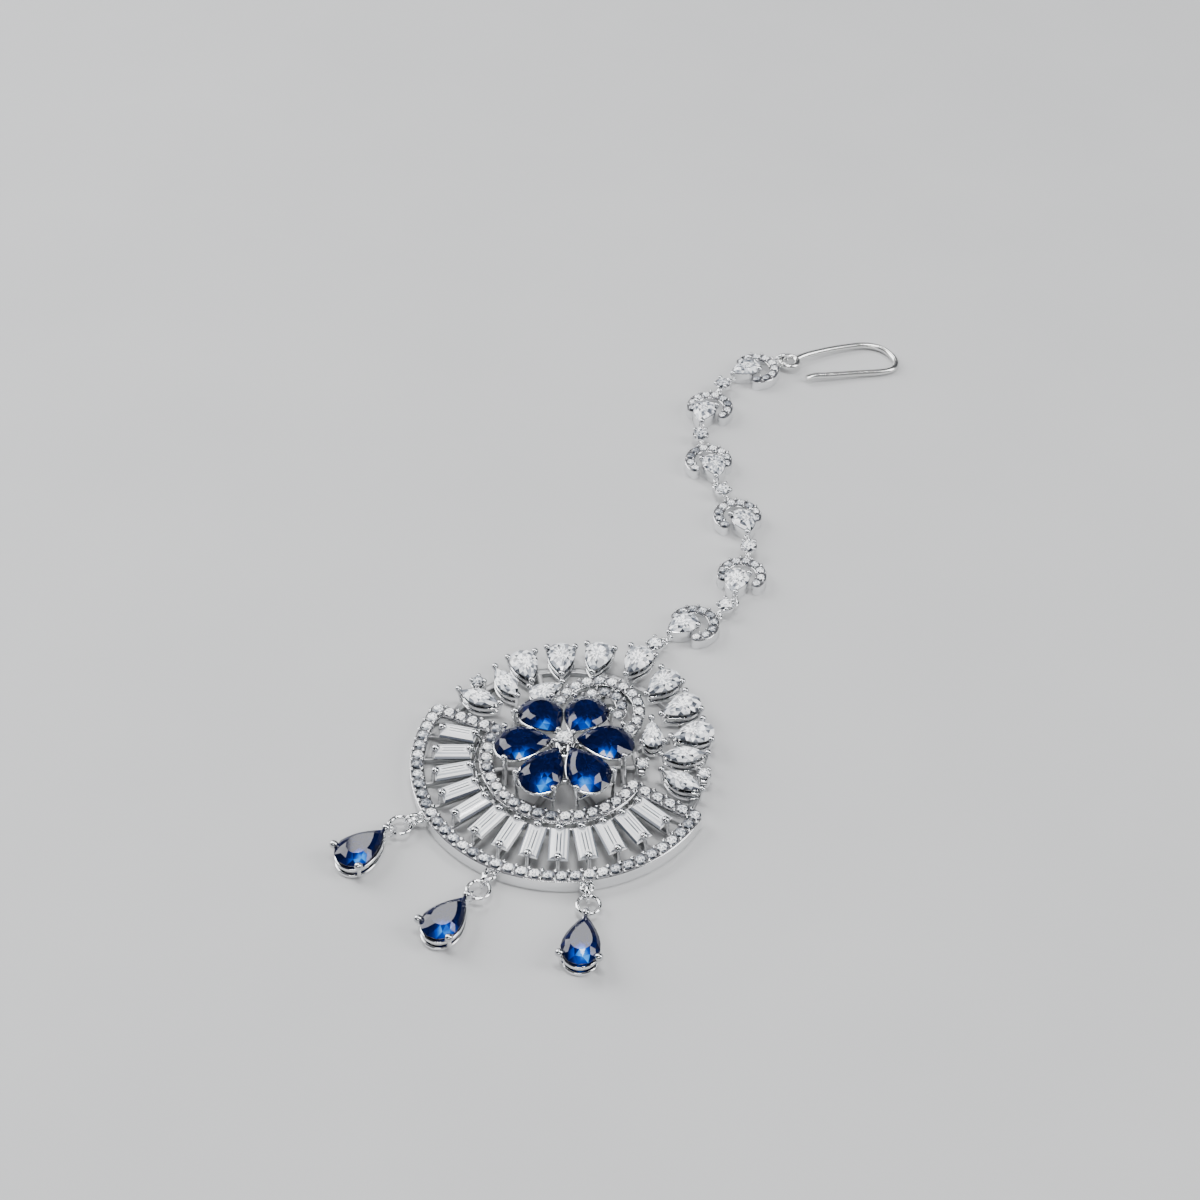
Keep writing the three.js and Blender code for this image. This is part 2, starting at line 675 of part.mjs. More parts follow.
function chainLink(side, last) {
  const haloEnd = haloSpan - haloMargin;
  const row = paveArc(haloRadius, -haloEnd, haloEnd, haloPavePitch, haloPaveDiameter, haloHeight);
  const halo = [arcRail(haloRadius, haloRailWidth, -haloSpan, haloSpan, 9, 0, haloHeight), ...row];
  const cupOutline = pearOutline(linkPearLength, linkPearWidth);
  const pear = [
    extrude(cupOutline, null, 0, linkStoneHeight),
    solidAt(cutStone(stones.link), 0, 0, linkStoneHeight),
    ...sideProngs.map(({ along: share, across }) => (
      solidAt(prong(linkStoneHeight - joinDepth, linkStoneHeight + linkProngRise),
        share * linkPearLength / 2, across * linkPearWidth / 2))),
  ];
  const pearX = linkReach - loopOverhang - haloRailWidth - linkWindow - linkPearLength / 2;
  const tipProng = prong(chainLoopHeight - chainWire, linkStoneHeight + prongRise);
  const loop = eyelet(chainLoopRadius, chainWire);
  const neckEnd = pearX - linkPearLength / 2 + neckDepth;
  const bodies = [
    bar(-linkReach + chainLoopRadius, neckEnd, neckWidth, chainLoopHeight - chainWire,
      chainLoopHeight + chainWire),
    ...halo.map((body) => solidAt(body, haloCentre, 0)),
    ...pear.map((body) => solidAt(body, pearX, side * linkPearShift)),
    solidAt(tipProng, -linkReach + chainLoopRadius + postRadius, 0),
    solidAt(loop, -linkReach, 0, chainLoopHeight),
  ];
  if (last) {
    const hookRing = uprightRing(hookRingRadius, hookRingWire);
    bodies.push(solidAt(hookRing, lastRingPlace, 0, hookRingRadius + hookRingWire));
  } else {
    bodies.push(solidAt(loop, linkReach, 0, chainLoopHeight));
  }
  return join(bodies);
}

// The chain's pieces follow each other by their headings, hooked at the loops' centres
const jointSides = [1, 1, -1, -1, 1, 1];
let pivot = new THREE.Vector2(0, chainStart);
chainRoute.forEach((heading, index) => {
  const isLink = index % 2 === 1;
  const number = Math.floor(index / 2) + 1;
  const isLast = isLink && number === jointSides.length;
  const reach = isLink ? linkReach : connectorReach;
  const middle = along(pivot, heading, reach);
  const body = isLink ? chainLink(jointSides[number - 1], isLast) : connector();
  const name = isLink ? `chain_link_${number}` : `connector_${number}`;
  addPiece(name, placed(body, spot(middle.x, middle.y, 0, heading)), silver);
  pivot = along(middle, heading, isLast ? lastRingPlace : reach);
});

// Hook: wire bent from the eye out to a wide bend and back to a free end, leaning on the last ring.
// The wire's path as shares of the hook's length and width
const hookOutline = [
  [0.07, 0.09], [0.15, 0.2], [0.37, 0.38], [0.6, 0.5], [0.72, 0.53], [0.84, 0.46], [0.93, 0.28],
  [0.98, 0.02], [0.98, -0.2], [0.93, -0.36], [0.84, -0.43], [0.6, -0.47], [0.36, -0.51],
  [0.19, -0.53], [0.12, -0.6],
];
const hookPoints = hookOutline.map(([x, y]) => new THREE.Vector3(x * hookLength, y * hookWidth, 0));
const hookPath = new THREE.CatmullRomCurve3(hookPoints, false, 'centripetal');
const wireSection = regularOutline(2 * hookWire, 6).map(([x, y]) => new THREE.Vector2(x, y));
const wire = new THREE.ExtrudeGeometry(new THREE.Shape(wireSection), {
  steps: 18, extrudePath: hookPath,
});
const hookBody = join([solid(wire), ring(hookEyeRadius, hookWire)]);
const lift = hookRingWire * 2 + hookWire + hookClearance;
const lean = Math.asin((lift - hookWire) / hookLength);
const eyeCentre = along(pivot, hookHeading, hookEyeRadius);
const hookPlace = spot(eyeCentre.x, eyeCentre.y, lift, hookHeading)
  .multiply(new THREE.Matrix4().makeRotationY(lean));
addPiece('hook', placed(hookBody, hookPlace), silver);

export default jewel;
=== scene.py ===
# A maang tikka lying flat: bright white metal, a flower of deep blue pears, a fan of clear
# oblongs, a crown of clear pears, three drops, a chain of crescent links and a wire hook.
# Lengths are in millimetres until a mesh is made, and +Y runs from the fan towards the chain.
import math
import random

import bpy
from mathutils import Matrix, Vector


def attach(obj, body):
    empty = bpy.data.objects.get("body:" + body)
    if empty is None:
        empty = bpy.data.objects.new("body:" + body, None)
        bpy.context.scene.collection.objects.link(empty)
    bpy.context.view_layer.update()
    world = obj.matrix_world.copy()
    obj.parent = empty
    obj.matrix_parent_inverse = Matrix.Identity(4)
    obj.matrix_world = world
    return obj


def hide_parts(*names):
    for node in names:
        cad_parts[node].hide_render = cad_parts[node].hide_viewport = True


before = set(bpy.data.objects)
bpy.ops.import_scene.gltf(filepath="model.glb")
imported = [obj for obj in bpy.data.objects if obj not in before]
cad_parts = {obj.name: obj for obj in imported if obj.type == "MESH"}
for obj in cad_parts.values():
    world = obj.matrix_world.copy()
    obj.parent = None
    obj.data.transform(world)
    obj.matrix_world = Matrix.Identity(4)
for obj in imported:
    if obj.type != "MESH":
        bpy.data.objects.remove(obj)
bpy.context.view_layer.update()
MM = 0.001

# Camera
# The photograph is taken from close by, well above the jewel, with the fan towards the viewer and
# the pendant low in the picture. The frame is 1200 pixels each way.
pendant_middle = Vector((0, 0, 2.4)) * MM
camera_distance = 340 * MM
camera_turn = math.radians(29.05)
camera_rise = math.radians(48.4)
half_view = math.radians(13.65)
half_picture = 600
focal_pixels = half_picture / math.tan(half_view)
pendant_pixel = (564.2, 760.2)
looking = Vector((
    -math.sin(camera_turn) * math.cos(camera_rise),
    math.cos(camera_turn) * math.cos(camera_rise),
    -math.sin(camera_rise),
))
rightwards = Vector((math.cos(camera_turn), math.sin(camera_turn), 0))
upwards = rightwards.cross(looking)
across_picture = rightwards * (half_picture - pendant_pixel[0]) / focal_pixels
up_picture = upwards * (pendant_pixel[1] - half_picture) / focal_pixels
picture_middle = (looking + across_picture + up_picture).normalized()
upright = Matrix((rightwards, upwards, -looking)).transposed()
turned = looking.rotation_difference(picture_middle).to_matrix() @ upright


def new_object(name, data):
    """A new object at the origin."""
    thing = bpy.data.objects.new(name, data)
    bpy.context.scene.collection.objects.link(thing)
    return thing


lens = bpy.data.cameras.new("photo_camera")
lens.sensor_width = 36
lens.lens = lens.sensor_width / 2 / math.tan(half_view)
lens.clip_start = 0.01
camera = new_object("photo_camera", lens)
camera.matrix_world = (
    Matrix.Translation(pendant_middle - looking * camera_distance) @ turned.to_4x4()
)
bpy.context.scene.camera = camera


# Floor and light
# A plain pale floor, and soft boxes round the jewel with darkness between them, so that the
# polished metal and the stones have something bright and something dark to reflect.
class Wire:
    """A socket of a node tree. Arithmetic on it adds Math nodes."""

    def __init__(self, tree, socket=None):
        self.tree = tree
        self.socket = socket

    def node(self, kind, settings=None, sockets=None, output=0):
        """A new node's output. Its settings come first, then its sockets' values and links."""
        new = self.tree.nodes.new(kind)
        for name, value in (settings or {}).items():
            if name == "stops":
                ramp = new.color_ramp
                for index, (place, colour) in enumerate(value):
                    stop = ramp.elements[index] if index < 2 else ramp.elements.new(place)
                    stop.position = place
                    stop.color = colour
            else:
                setattr(new, name, value)
        for name, value in (sockets or {}).items():
            if isinstance(value, Wire):
                self.tree.links.new(value.socket, new.inputs[name])
            else:
                new.inputs[name].default_value = value
        return Wire(self.tree, new.outputs[output])

    def math(self, operation, first, second=0.0):
        return self.node("ShaderNodeMath", {"operation": operation}, {0: first, 1: second})

    def __add__(self, other):
        return self.math("ADD", self, other)

    def __radd__(self, other):
        return self.math("ADD", other, self)

    def __sub__(self, other):
        return self.math("SUBTRACT", self, other)

    def __rsub__(self, other):
        return self.math("SUBTRACT", other, self)

    def __mul__(self, other):
        return self.math("MULTIPLY", self, other)

    def __rmul__(self, other):
        return self.math("MULTIPLY", other, self)

    def ramp(self, stops):
        """The colour that a ramp of places and colours gives this value."""
        return self.node("ShaderNodeValToRGB", {"stops": stops}, {"Fac": self}, output="Color")

    def between(self, first, second):
        """A colour between two, with this value as the second one's share."""
        return self.node("ShaderNodeMix", {"data_type": "RGBA"}, {0: self, 6: first, 7: second},
                         output=2)

    def cloud(self, scale, detail):
        """Soft noise over this place."""
        return self.node("ShaderNodeTexNoise", {},
                         {"Vector": self, "Scale": scale, "Detail": detail})

    def own(self, name):
        """A number that a piece carries on its faces or points."""
        return self.node("ShaderNodeAttribute", {"attribute_name": name}, output="Fac")

    def feed(self, socket):
        self.tree.links.new(self.socket, socket)


def new_finish(name, roughness, metallic=0.0):
    """A material, its shader and a Wire that starts its nodes."""
    material = bpy.data.materials.new(name)
    material.use_nodes = True
    shader = material.node_tree.nodes["Principled BSDF"]
    shader.inputs["Roughness"].default_value = roughness
    shader.inputs["Metallic"].default_value = metallic
    return material, shader, Wire(material.node_tree)


floor_finish, floor_shader, start = new_finish("pale_floor", 0.55)
floor_place = start.node("ShaderNodeTexCoord", output="Object")
floor_place.cloud(30.0, 6.0).between((0.50, 0.505, 0.515, 1), (0.56, 0.565, 0.57, 1)).feed(
    floor_shader.inputs["Base Color"])
floor_reach = 3000.0


def new_mesh(name, points, edges, faces):
    """A mesh of points in millimetres."""
    mesh = bpy.data.meshes.new(name)
    mesh.from_pydata([Vector(point) * MM for point in points], edges, faces)
    return mesh


floor_corners = [(x * floor_reach, y * floor_reach, 0)
                 for x, y in ((-1, -1), (1, -1), (1, 1), (-1, 1))]
floor_mesh = new_mesh("floor", floor_corners, [], [(0, 1, 2, 3)])
floor_mesh.materials.append(floor_finish)
new_object("floor", floor_mesh)

sky = bpy.data.worlds.new("studio")
sky.use_nodes = True
start = Wire(sky.node_tree)
skywards = start.node("ShaderNodeTexCoord", output="Generated")
skywards = skywards.node("ShaderNodeSeparateXYZ", {}, {"Vector": skywards}, output="Z")
skywards.ramp([
    (0.0, (0.52, 0.525, 0.53, 1)), (0.10, (0.40, 0.405, 0.41, 1)),
    (0.34, (0.045, 0.048, 0.055, 1)),
]).feed(sky.node_tree.nodes["Background"].inputs["Color"])
bpy.context.scene.world = sky

# Soft boxes by name, place and size in metres, and power: one behind that the stones' flat tables
# throw to the viewer, a wide one on each side, and two strips
soft_boxes = [
    ("back_box", (-0.30, 0.54, 0.70), (0.22, 0.22), 1.3),
    ("left_box", (-0.62, 0.05, 0.40), (0.44, 0.66), 7.0),
    ("right_box", (0.60, 0.22, 0.50), (0.32, 0.56), 5.0),
    ("front_strip", (0.22, -0.60, 0.50), (0.40, 0.06), 1.6),
    ("top_strip", (0.02, 0.02, 0.85), (0.10, 0.40), 4.5),
]
for box_name, box_place, (box_width, box_height), box_power in soft_boxes:
    light = bpy.data.lights.new(box_name, "AREA")
    light.shape = "RECTANGLE"
    light.size = box_width
    light.size_y = box_height
    light.energy = box_power
    soft_box = new_object(box_name, light)
    soft_box.location = box_place
    aim = Vector((0, 0.02, 0)) - soft_box.location
    soft_box.rotation_euler = aim.to_track_quat("-Z", "Y").to_euler()


# Outer rim of the fan
# A half ring of cast white metal, bright with rhodium plate and polished by hand. Its flat top is
# drilled for a row of small clear stones, each held by metal beads raised beside it.
silver, silver_shader, start = new_finish("bright_plate", 0.12, 1.0)
metal_place = start.node("ShaderNodeTexCoord", output="Object")
polish = metal_place.cloud(700.0, 4.0)
# Rail tops that hold stones get painted shade: a dark colour and a little more roughness
painted_shade_top = start.own("painted_shade_top")
(0.05 + polish * 0.06 + painted_shade_top * 0.3).feed(silver_shader.inputs["Roughness"])
plate = metal_place.cloud(120.0, 2.0).between((0.78, 0.79, 0.80, 1), (0.95, 0.95, 0.96, 1))
# Painted shade: those tops are dark grey instead of the plate's colour
painted_shade_top.between(plate, (0.19, 0.19, 0.20, 1)).feed(silver_shader.inputs["Base Color"])
start.node(
    "ShaderNodeBump", {}, {"Height": polish, "Strength": 0.05, "Distance": 0.00004},
    output="Normal",
).feed(silver_shader.inputs["Normal"])

# Clear cut stones: painted bright and dark facets, a painted sparkle for how the back of a cut
# stone throws the light about, and the brightest facets glow a little as a painted glint
crystal, crystal_shader, start = new_finish("clear_stone", 0.04)
crystal_shader.inputs["IOR"].default_value = 1.7
own_flash = start.own("flash")
crystal_flash = own_flash + (start.own("shift") - 0.5) * own_flash
crystal_flash.ramp([
    (0.0, (0.015, 0.018, 0.024, 1)), (0.28, (0.10, 0.11, 0.135, 1)),
    (0.50, (0.40, 0.43, 0.48, 1)), (0.68, (0.88, 0.91, 0.95, 1)), (1.0, (1.0, 1.0, 1.0, 1)),
]).feed(crystal_shader.inputs["Base Color"])
# Painted glint: the brightest facets glow
crystal_flash.ramp([
    (0.0, (0, 0, 0, 1)), (0.62, (0, 0, 0, 1)), (0.92, (1.0, 1.0, 1.0, 1)),
]).feed(crystal_shader.inputs["Emission Color"])
crystal_shader.inputs["Emission Strength"].default_value = 0.3

rail_tree = bpy.data.node_groups.new("rail_on_a_path", "GeometryNodeTree")


def name_sockets(tree, inputs):
    """Gives a geometry tree its named inputs and its output, and returns the inputs as Wires."""
    for socket_name, kind in inputs:
        tree.interface.new_socket(name=socket_name, in_out="INPUT", socket_type=kind)
    tree.interface.new_socket(
        name="Geometry", in_out="OUTPUT", socket_type="NodeSocketGeometry"
    )
    group = tree.nodes.new("NodeGroupInput")
    return {name: Wire(tree, group.outputs[name]) for name, kind in inputs}


def end_tree(tree, geometry, finish):
    """Realizes what a tree made, gives it its finish and sends it out."""
    whole = geometry.node("GeometryNodeRealizeInstances", {}, {"Geometry": geometry})
    whole = whole.node("GeometryNodeSetMaterial", {}, {"Geometry": whole, "Material": finish})
    tree.links.new(whole.socket, tree.nodes.new("NodeGroupOutput").inputs["Geometry"])


# The tree turns each line of a mesh into a rail with a rounded oblong section
sockets = name_sockets(rail_tree, [
    ("Path", "NodeSocketGeometry"), ("Width", "NodeSocketFloat"), ("Height", "NodeSocketFloat"),
    ("Corner", "NodeSocketFloat"), ("Corner Steps", "NodeSocketInt"),
    ("Finish", "NodeSocketMaterial"),
])
line = sockets["Path"].node("GeometryNodeMeshToCurve", {}, {"Mesh": sockets["Path"]})
line = line.node("GeometryNodeSetCurveNormal", {"mode": "Z_UP"}, {"Curve": line})
section = line.node(
    "GeometryNodeCurvePrimitiveQuadrilateral", {},
    {"Width": sockets["Width"], "Height": sockets["Height"]},
)
section = section.node(
    "GeometryNodeFilletCurve", {"mode": "POLY"},
    {"Curve": section, "Radius": sockets["Corner"], "Count": sockets["Corner Steps"]},
)
rails = line.node(
    "GeometryNodeCurveToMesh", {},
    {"Curve": line, "Profile Curve": section, "Fill Caps": True},
)
end_tree(rail_tree, rails, sockets["Finish"])
sharp_angle = math.radians(38)


def piece_by_tree(name, mesh, tree, values):
    """A plain mesh piece that a geometry tree makes from a mesh. It rides on the body root."""
    piece = new_object(name, mesh)
    maker = piece.modifiers.new("maker", "NODES")
    maker.node_group = tree
    for socket in tree.interface.items_tree:
        if socket.in_out == "INPUT" and socket.name in values:
            maker[socket.identifier] = values[socket.name]
    bpy.context.view_layer.update()
    made = piece.evaluated_get(bpy.context.evaluated_depsgraph_get())
    plain = bpy.data.meshes.new_from_object(made)
    piece.modifiers.remove(maker)
    piece.data = plain
    plain.polygons.foreach_set("use_smooth", [True] * len(plain.polygons))
    plain.set_sharp_from_angle(angle=sharp_angle)
    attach(piece, "root")
    return piece


def give(mesh, name, domain, values):
    """Puts a number on each face or point of a mesh, for its material or its tree to read."""
    mesh.attributes.new(name, "FLOAT", domain).data.foreach_set("value", values)


def rail(name, paths, width, height, corner=0.12, corner_steps=2, painted_shade_top=False, finish=silver):
    """A metal piece along paths of points in millimetres, each with True if it is closed. A flat
    top that holds stones can be painted dark and a little rougher, as painted shade between the
    stones."""
    points = []
    edges = []
    for path, closed in paths:
        first = len(points)
        points.extend(path)
        edges.extend((first + index, first + index + 1) for index in range(len(path) - 1))
        if closed:
            edges.append((len(points) - 1, first))
    piece = piece_by_tree(name, new_mesh(name, points, edges, []), rail_tree, {
        "Width": width * MM, "Height": height * MM, "Corner": corner * MM,
        "Corner Steps": corner_steps, "Finish": finish,
    })
    # The flat top faces are marked for painted shade
    if painted_shade_top:
        give(piece.data, "painted_shade_top", "FACE",
             [float(face.normal.z > 0.95) for face in piece.data.polygons])
    return piece


def wire(name, paths, radius, finish=silver):
    """Round wire along paths."""
    return rail(name, paths, 2 * radius, 2 * radius, radius * 0.98, 4, finish=finish)


def arc(radius, from_angle, to_angle, z, steps, centre=(0, 0)):
    """An open path along an arc."""
    angles = [math.radians(from_angle + (to_angle - from_angle) * step / steps)
              for step in range(steps + 1)]
    return [(centre[0] + radius * math.cos(angle), centre[1] + radius * math.sin(angle), z)
            for angle in angles], False


# The tree sets a small shape on every point of a mesh, turned and sized as the point says
set_tree = bpy.data.node_groups.new("set_on_points", "GeometryNodeTree")
sockets = name_sockets(set_tree, [
    ("Points", "NodeSocketGeometry"), ("Shape", "NodeSocketObject"),
    ("Finish", "NodeSocketMaterial"),
])
shape = sockets["Shape"].node(
    "GeometryNodeObjectInfo", {}, {"Object": sockets["Shape"]}, output="Geometry"
)
facing = shape.node(
    "GeometryNodeInputNamedAttribute", {"data_type": "FLOAT_VECTOR"}, {"Name": "facing"}
)
size = shape.node("GeometryNodeInputNamedAttribute", {"data_type": "FLOAT"}, {"Name": "size"})
rotation = facing.node("FunctionNodeEulerToRotation", {}, {"Euler": facing})
set_shapes = shape.node("GeometryNodeInstanceOnPoints", {}, {
    "Points": sockets["Points"], "Instance": shape, "Rotation": rotation, "Scale": size,
})
end_tree(set_tree, set_shapes, sockets["Finish"])
luck = random.Random(7)


def set_shapes_at(name, places, shape_mesh, finish):
    """A piece with one shape at each place, which is a matrix in millimetres and a size."""
    mesh = new_mesh(name, [matrix.translation for matrix, share in places], [], [])
    mesh.attributes.new("facing", "FLOAT_VECTOR", "POINT").data.foreach_set(
        "vector", [turn for matrix, share in places for turn in matrix.to_euler()])
    give(mesh, "size", "POINT", [share for matrix, share in places])
    give(mesh, "shift", "POINT", [luck.random() for place in places])
    shape_object = new_object(name + "_shape", shape_mesh)
    piece = piece_by_tree(name, mesh, set_tree, {"Shape": shape_object, "Finish": finish})
    bpy.data.objects.remove(shape_object)
    return piece


def stone_mesh(name, outline, crown, pavilion, table, culet_x=0.0, seed=1, dark_edge=0.0):
    """A cut stone with its girdle at z = 0. Every facet has its own painted flash, and the table
    is broken up as the back facets show through it. The girdle and what is under it are painted
    darker, and so are the facets next to it, by dark_edge."""
    count = len(outline)
    draw = random.Random(seed)
    # Rings of points from below: share of the outline, height, and whether they are halfway
    # between the outline's own points
    rings = [
        (0.52, -pavilion * 0.55, True), (1.0, -0.04, False), (1.0, 0.04, False),
        ((1 + table) / 2 + 0.03, crown * 0.62, True), (table, crown, False),
        (table * 0.62, crown, True), (table * 0.3, crown, False),
    ]
    halves = [half for share, z, half in rings]
    points = []
    for share, z, half in rings:
        for index, (x, y) in enumerate(outline):
            next_x, next_y = outline[(index + 1) % count]
            if half:
                x, y = (x + next_x) / 2, (y + next_y) / 2
            points.append((x * share, y * share, z))
    points += [(culet_x, 0, -pavilion), (0, 0, crown)]
    faces = []
    dims = []
    below_dim = 0.4
    for number in range(len(rings) - 1):
        dim = below_dim if number < 2 else dark_edge if number == 2 else 0.0
        dims += [dim] * (count if halves[number] == halves[number + 1] else 2 * count)
        lower, upper = number * count, (number + 1) * count
        for index in range(count):
            after = (index + 1) % count
            a, b, c, d = lower + index, lower + after, upper + after, upper + index
            if halves[number] == halves[number + 1]:
                faces.append((a, b, c, d))
            elif halves[number]:
                faces.extend([(a, c, d), (a, b, c)])
            else:
                faces.extend([(a, b, d), (b, c, d)])
    last = (len(rings) - 1) * count
    for index in range(count):
        after = (index + 1) % count
        faces.append((after, index, len(points) - 2))
        faces.append((last + index, last + after, len(points) - 1))
        dims += [below_dim, 0.0]
    # Painted flash: bright and dark facets at random, painted darker under the girdle and by the
    # edge
    flashes = []
    for index, dim in enumerate(dims):
        flash = 0.55 + (0.12 if index % 2 else -0.12) + draw.uniform(-0.42, 0.42) - dim
        flashes.append(min(0.98, max(0.0, flash)))
    mesh = new_mesh(name, points, [], faces)
    give(mesh, "flash", "FACE", flashes)
    return mesh


def round_outline(diameter, count):
    """Points round a circle."""
    return [(diameter / 2 * math.cos(2 * math.pi * step / count),
             diameter / 2 * math.sin(2 * math.pi * step / count)) for step in range(count)]


def bead_mesh(name, rings=6, sides=10, flatten=0.85):
    """A metal bead one millimetre across, a little flattened by the setter's tool."""
    points = [(0, 0, -0.5 * flatten)]
    for step in range(1, rings):
        angle = -math.pi / 2 + math.pi * step / rings
        z = 0.5 * flatten * math.sin(angle)
        points += [(x, y, z) for x, y in round_outline(math.cos(angle), sides)]
    points.append((0, 0, 0.5 * flatten))
    top = len(points) - 1
    faces = []
    for side in range(sides):
        after = (side + 1) % sides
        faces.append((0, 1 + after, 1 + side))
        faces.append((top, top - sides + side, top - sides + after))
        for step in range(rings - 2):
            low = 1 + step * sides
            faces.append((low + side, low + after, low + sides + after, low + sides + side))
    return new_mesh(name, points, [], faces)


def spot(x, y, z, heading=0.0, tilt=0.0):
    """A place in millimetres, turned by a heading about +Z after a tilt about its own Y."""
    return (Matrix.Translation((x, y, z)) @ Matrix.Rotation(math.radians(heading), 4, "Z")
            @ Matrix.Rotation(math.radians(tilt), 4, "Y"))


def polar(radius, angle, z, turn=0.0, tilt=0.0):
    """A place at a radius and an angle, facing outwards apart from its turn and tilt."""
    return spot(radius * math.cos(math.radians(angle)), radius * math.sin(math.radians(angle)),
                z, angle + turn, tilt)


pave_stone = stone_mesh("pave_stone", round_outline(1, 8), 0.2, 0.3, 0.6, seed=3, dark_edge=0.3)
small_bead = bead_mesh("small_bead", 4, 8)
pave_pitch = 1.82
pave_size = 1.64
stone_lift = 0.08
bead_lift = 0.2
bead_share = 0.36
bead_aside = 0.72
outer_rim_radius = 20.2
outer_rim_top = 2.2
rim_width = 2.0


def pave_row(radius, from_angle, to_angle, top, pitch, stone, bead_offset, centre=(0, 0)):
    """Places for the stones of a row on a curved rail, and for the beads between them."""
    gaps = round(math.radians(to_angle - from_angle) * radius / pitch)
    at_centre = Matrix.Translation((centre[0], centre[1], 0))
    stones = []
    beads = []
    for index in range(gaps + 1):
        angle = from_angle + (to_angle - from_angle) * index / gaps
        lean = luck.uniform(-3, 3)
        place = polar(radius, angle, top + stone_lift, luck.uniform(0, 45), lean)
        stones.append((at_centre @ place, stone))
        if index < gaps:
            between = angle + (to_angle - from_angle) / gaps / 2
            for side in (-1, 1):
                place = polar(radius + side * bead_offset, between, top + bead_lift)
                beads.append((at_centre @ place, stone * bead_share))
    return stones, beads


def set_pave(name, row):
    """The stones and the beads of a row, as two pieces."""
    set_shapes_at(name + "_stones", row[0], pave_stone, crystal)
    set_shapes_at(name + "_beads", row[1], small_bead, silver)


outer_rim = rail("outer_rim", [arc(outer_rim_radius, 180, 360, outer_rim_top / 2, 72)],
                 rim_width, outer_rim_top, 0.16, 3, True)
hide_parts("pendant_frame")
set_pave("outer_rim", pave_row(outer_rim_radius, 180, 360, outer_rim_top, pave_pitch, pave_size,
                               bead_aside))

# Inner rim of the fan
# A smaller half ring that stands a little higher than the outer one, so the fan slopes outwards.
# It is cast and set in the same way.
inner_rim_radius = 10.7
inner_rim_top = 3.1
inner_rim_height = 1.7
rail("inner_rim", [arc(inner_rim_radius, 180, 360, inner_rim_top - inner_rim_height / 2, 48)],
     rim_width, inner_rim_height, 0.16, 3, True)
set_pave("inner_rim", pave_row(inner_rim_radius, 180, 360, inner_rim_top, pave_pitch, pave_size,
                               bead_aside))

# Straight ends of the fan
# Two bars on the fan's diameter join the rims, with the same row of stones on top, and a post
# under the inner end of each comes down to the back.
fan_reach = (outer_rim_radius - inner_rim_radius) / 2
fan_middle = inner_rim_radius + fan_reach
fan_slope = math.degrees(math.atan2(inner_rim_top - outer_rim_top, 2 * fan_reach))
end_height = 1.9
end_post_height = 2.6
end_gaps = round(2 * fan_reach / pave_pitch)
half_pitch = fan_reach / end_gaps
end_paths = []
post_paths = []
end_stones = []
end_beads = []


def bar(place, low, high):
    """A straight path between two points of a place."""
    return [place @ Vector(low), place @ Vector(high)], False


for side in (1, -1):
    end_paths.append(([
        (side * inner_rim_radius, 0, inner_rim_top - end_height / 2),
        (side * outer_rim_radius, 0, outer_rim_top - end_height / 2),
    ], False))
    post_paths.append(bar(spot(side * (inner_rim_radius - 0.5), 0, 0), (0, 0, 0),
                          (0, 0, end_post_height)))
    for index in range(1, end_gaps + 1):
        share = index / end_gaps
        x = side * (inner_rim_radius + 2 * fan_reach * share)
        z = inner_rim_top + (outer_rim_top - inner_rim_top) * share
        if index < end_gaps:
            place = spot(x, 0, z + stone_lift, luck.uniform(0, 45), side * fan_slope)
            end_stones.append((place, pave_size))
        for edge in (-1, 1):
            end_beads.append((spot(x - side * half_pitch, edge * bead_aside, z + 0.24), 0.6))
rail("fan_ends", end_paths, rim_width, end_height, 0.16, 3, True)
wire("fan_end_posts", post_paths, 0.45)
set_pave("fan_end", (end_stones, end_beads))

# Baguettes of the fan
# Clear oblongs cut in steps, each held at its two ends by a ball prong. A strut under each joins
# the rims, and a thin wire runs behind the inner prongs.
baguette_count = 13
baguette_pitch = 13.2
baguette_length = 5.2
baguette_width = 2.7
baguette_radius = fan_middle - 0.2
baguette_top = inner_rim_top - (baguette_radius - inner_rim_radius) * math.tan(
    math.radians(fan_slope))
# Steps of the cut from the table down: shares of the length and the width, and a height
baguette_steps = [
    (0.50, 0.10, 0.55), (0.66, 0.24, 0.55), (0.80, 0.42, 0.55), (0.87, 0.62, 0.44),
    (0.94, 0.82, 0.26), (1.0, 1.0, 0.04), (1.0, 1.0, -0.04), (0.86, 0.6, -0.5),
    (0.72, 0.2, -0.9),
]
# How bright the painted flash is on the long sides and the ends of each step, and on the underside
baguette_flashes = [
    (0.4, 0.9), (0.95, 0.8), (0.66, 0.95), (0.98, 0.5), (0.36, 0.75), (0.2, 0.2), (0.2, 0.2),
    (0.2, 0.2),
]
underside_flash = 0.4


def baguette_mesh(name, seed):
    """A step-cut oblong, longest along X."""
    draw = random.Random(seed)
    points = []
    for long, wide, z in baguette_steps:
        x, y = baguette_length / 2 * long, baguette_width / 2 * wide
        points += [(-x, -y, z), (x, -y, z), (x, y, z), (-x, y, z)]
    faces = [(0, 1, 2, 3)]
    flashes = [0.95 + draw.uniform(-0.2, 0.05)]
    for step, (along, ends) in enumerate(baguette_flashes):
        upper, lower = step * 4, step * 4 + 4
        for corner in range(4):
            after = (corner + 1) % 4
            faces.append((lower + corner, lower + after, upper + after, upper + corner))
            flash = (along if corner in (0, 2) else ends) + draw.uniform(-0.18, 0.1)
            flashes.append(min(1.0, max(0.0, flash)))
    last = len(points) - 4
    faces.append((last + 3, last + 2, last + 1, last))
    flashes.append(underside_flash)
    mesh = new_mesh(name, points, [], faces)
    give(mesh, "flash", "FACE", flashes)
    return mesh


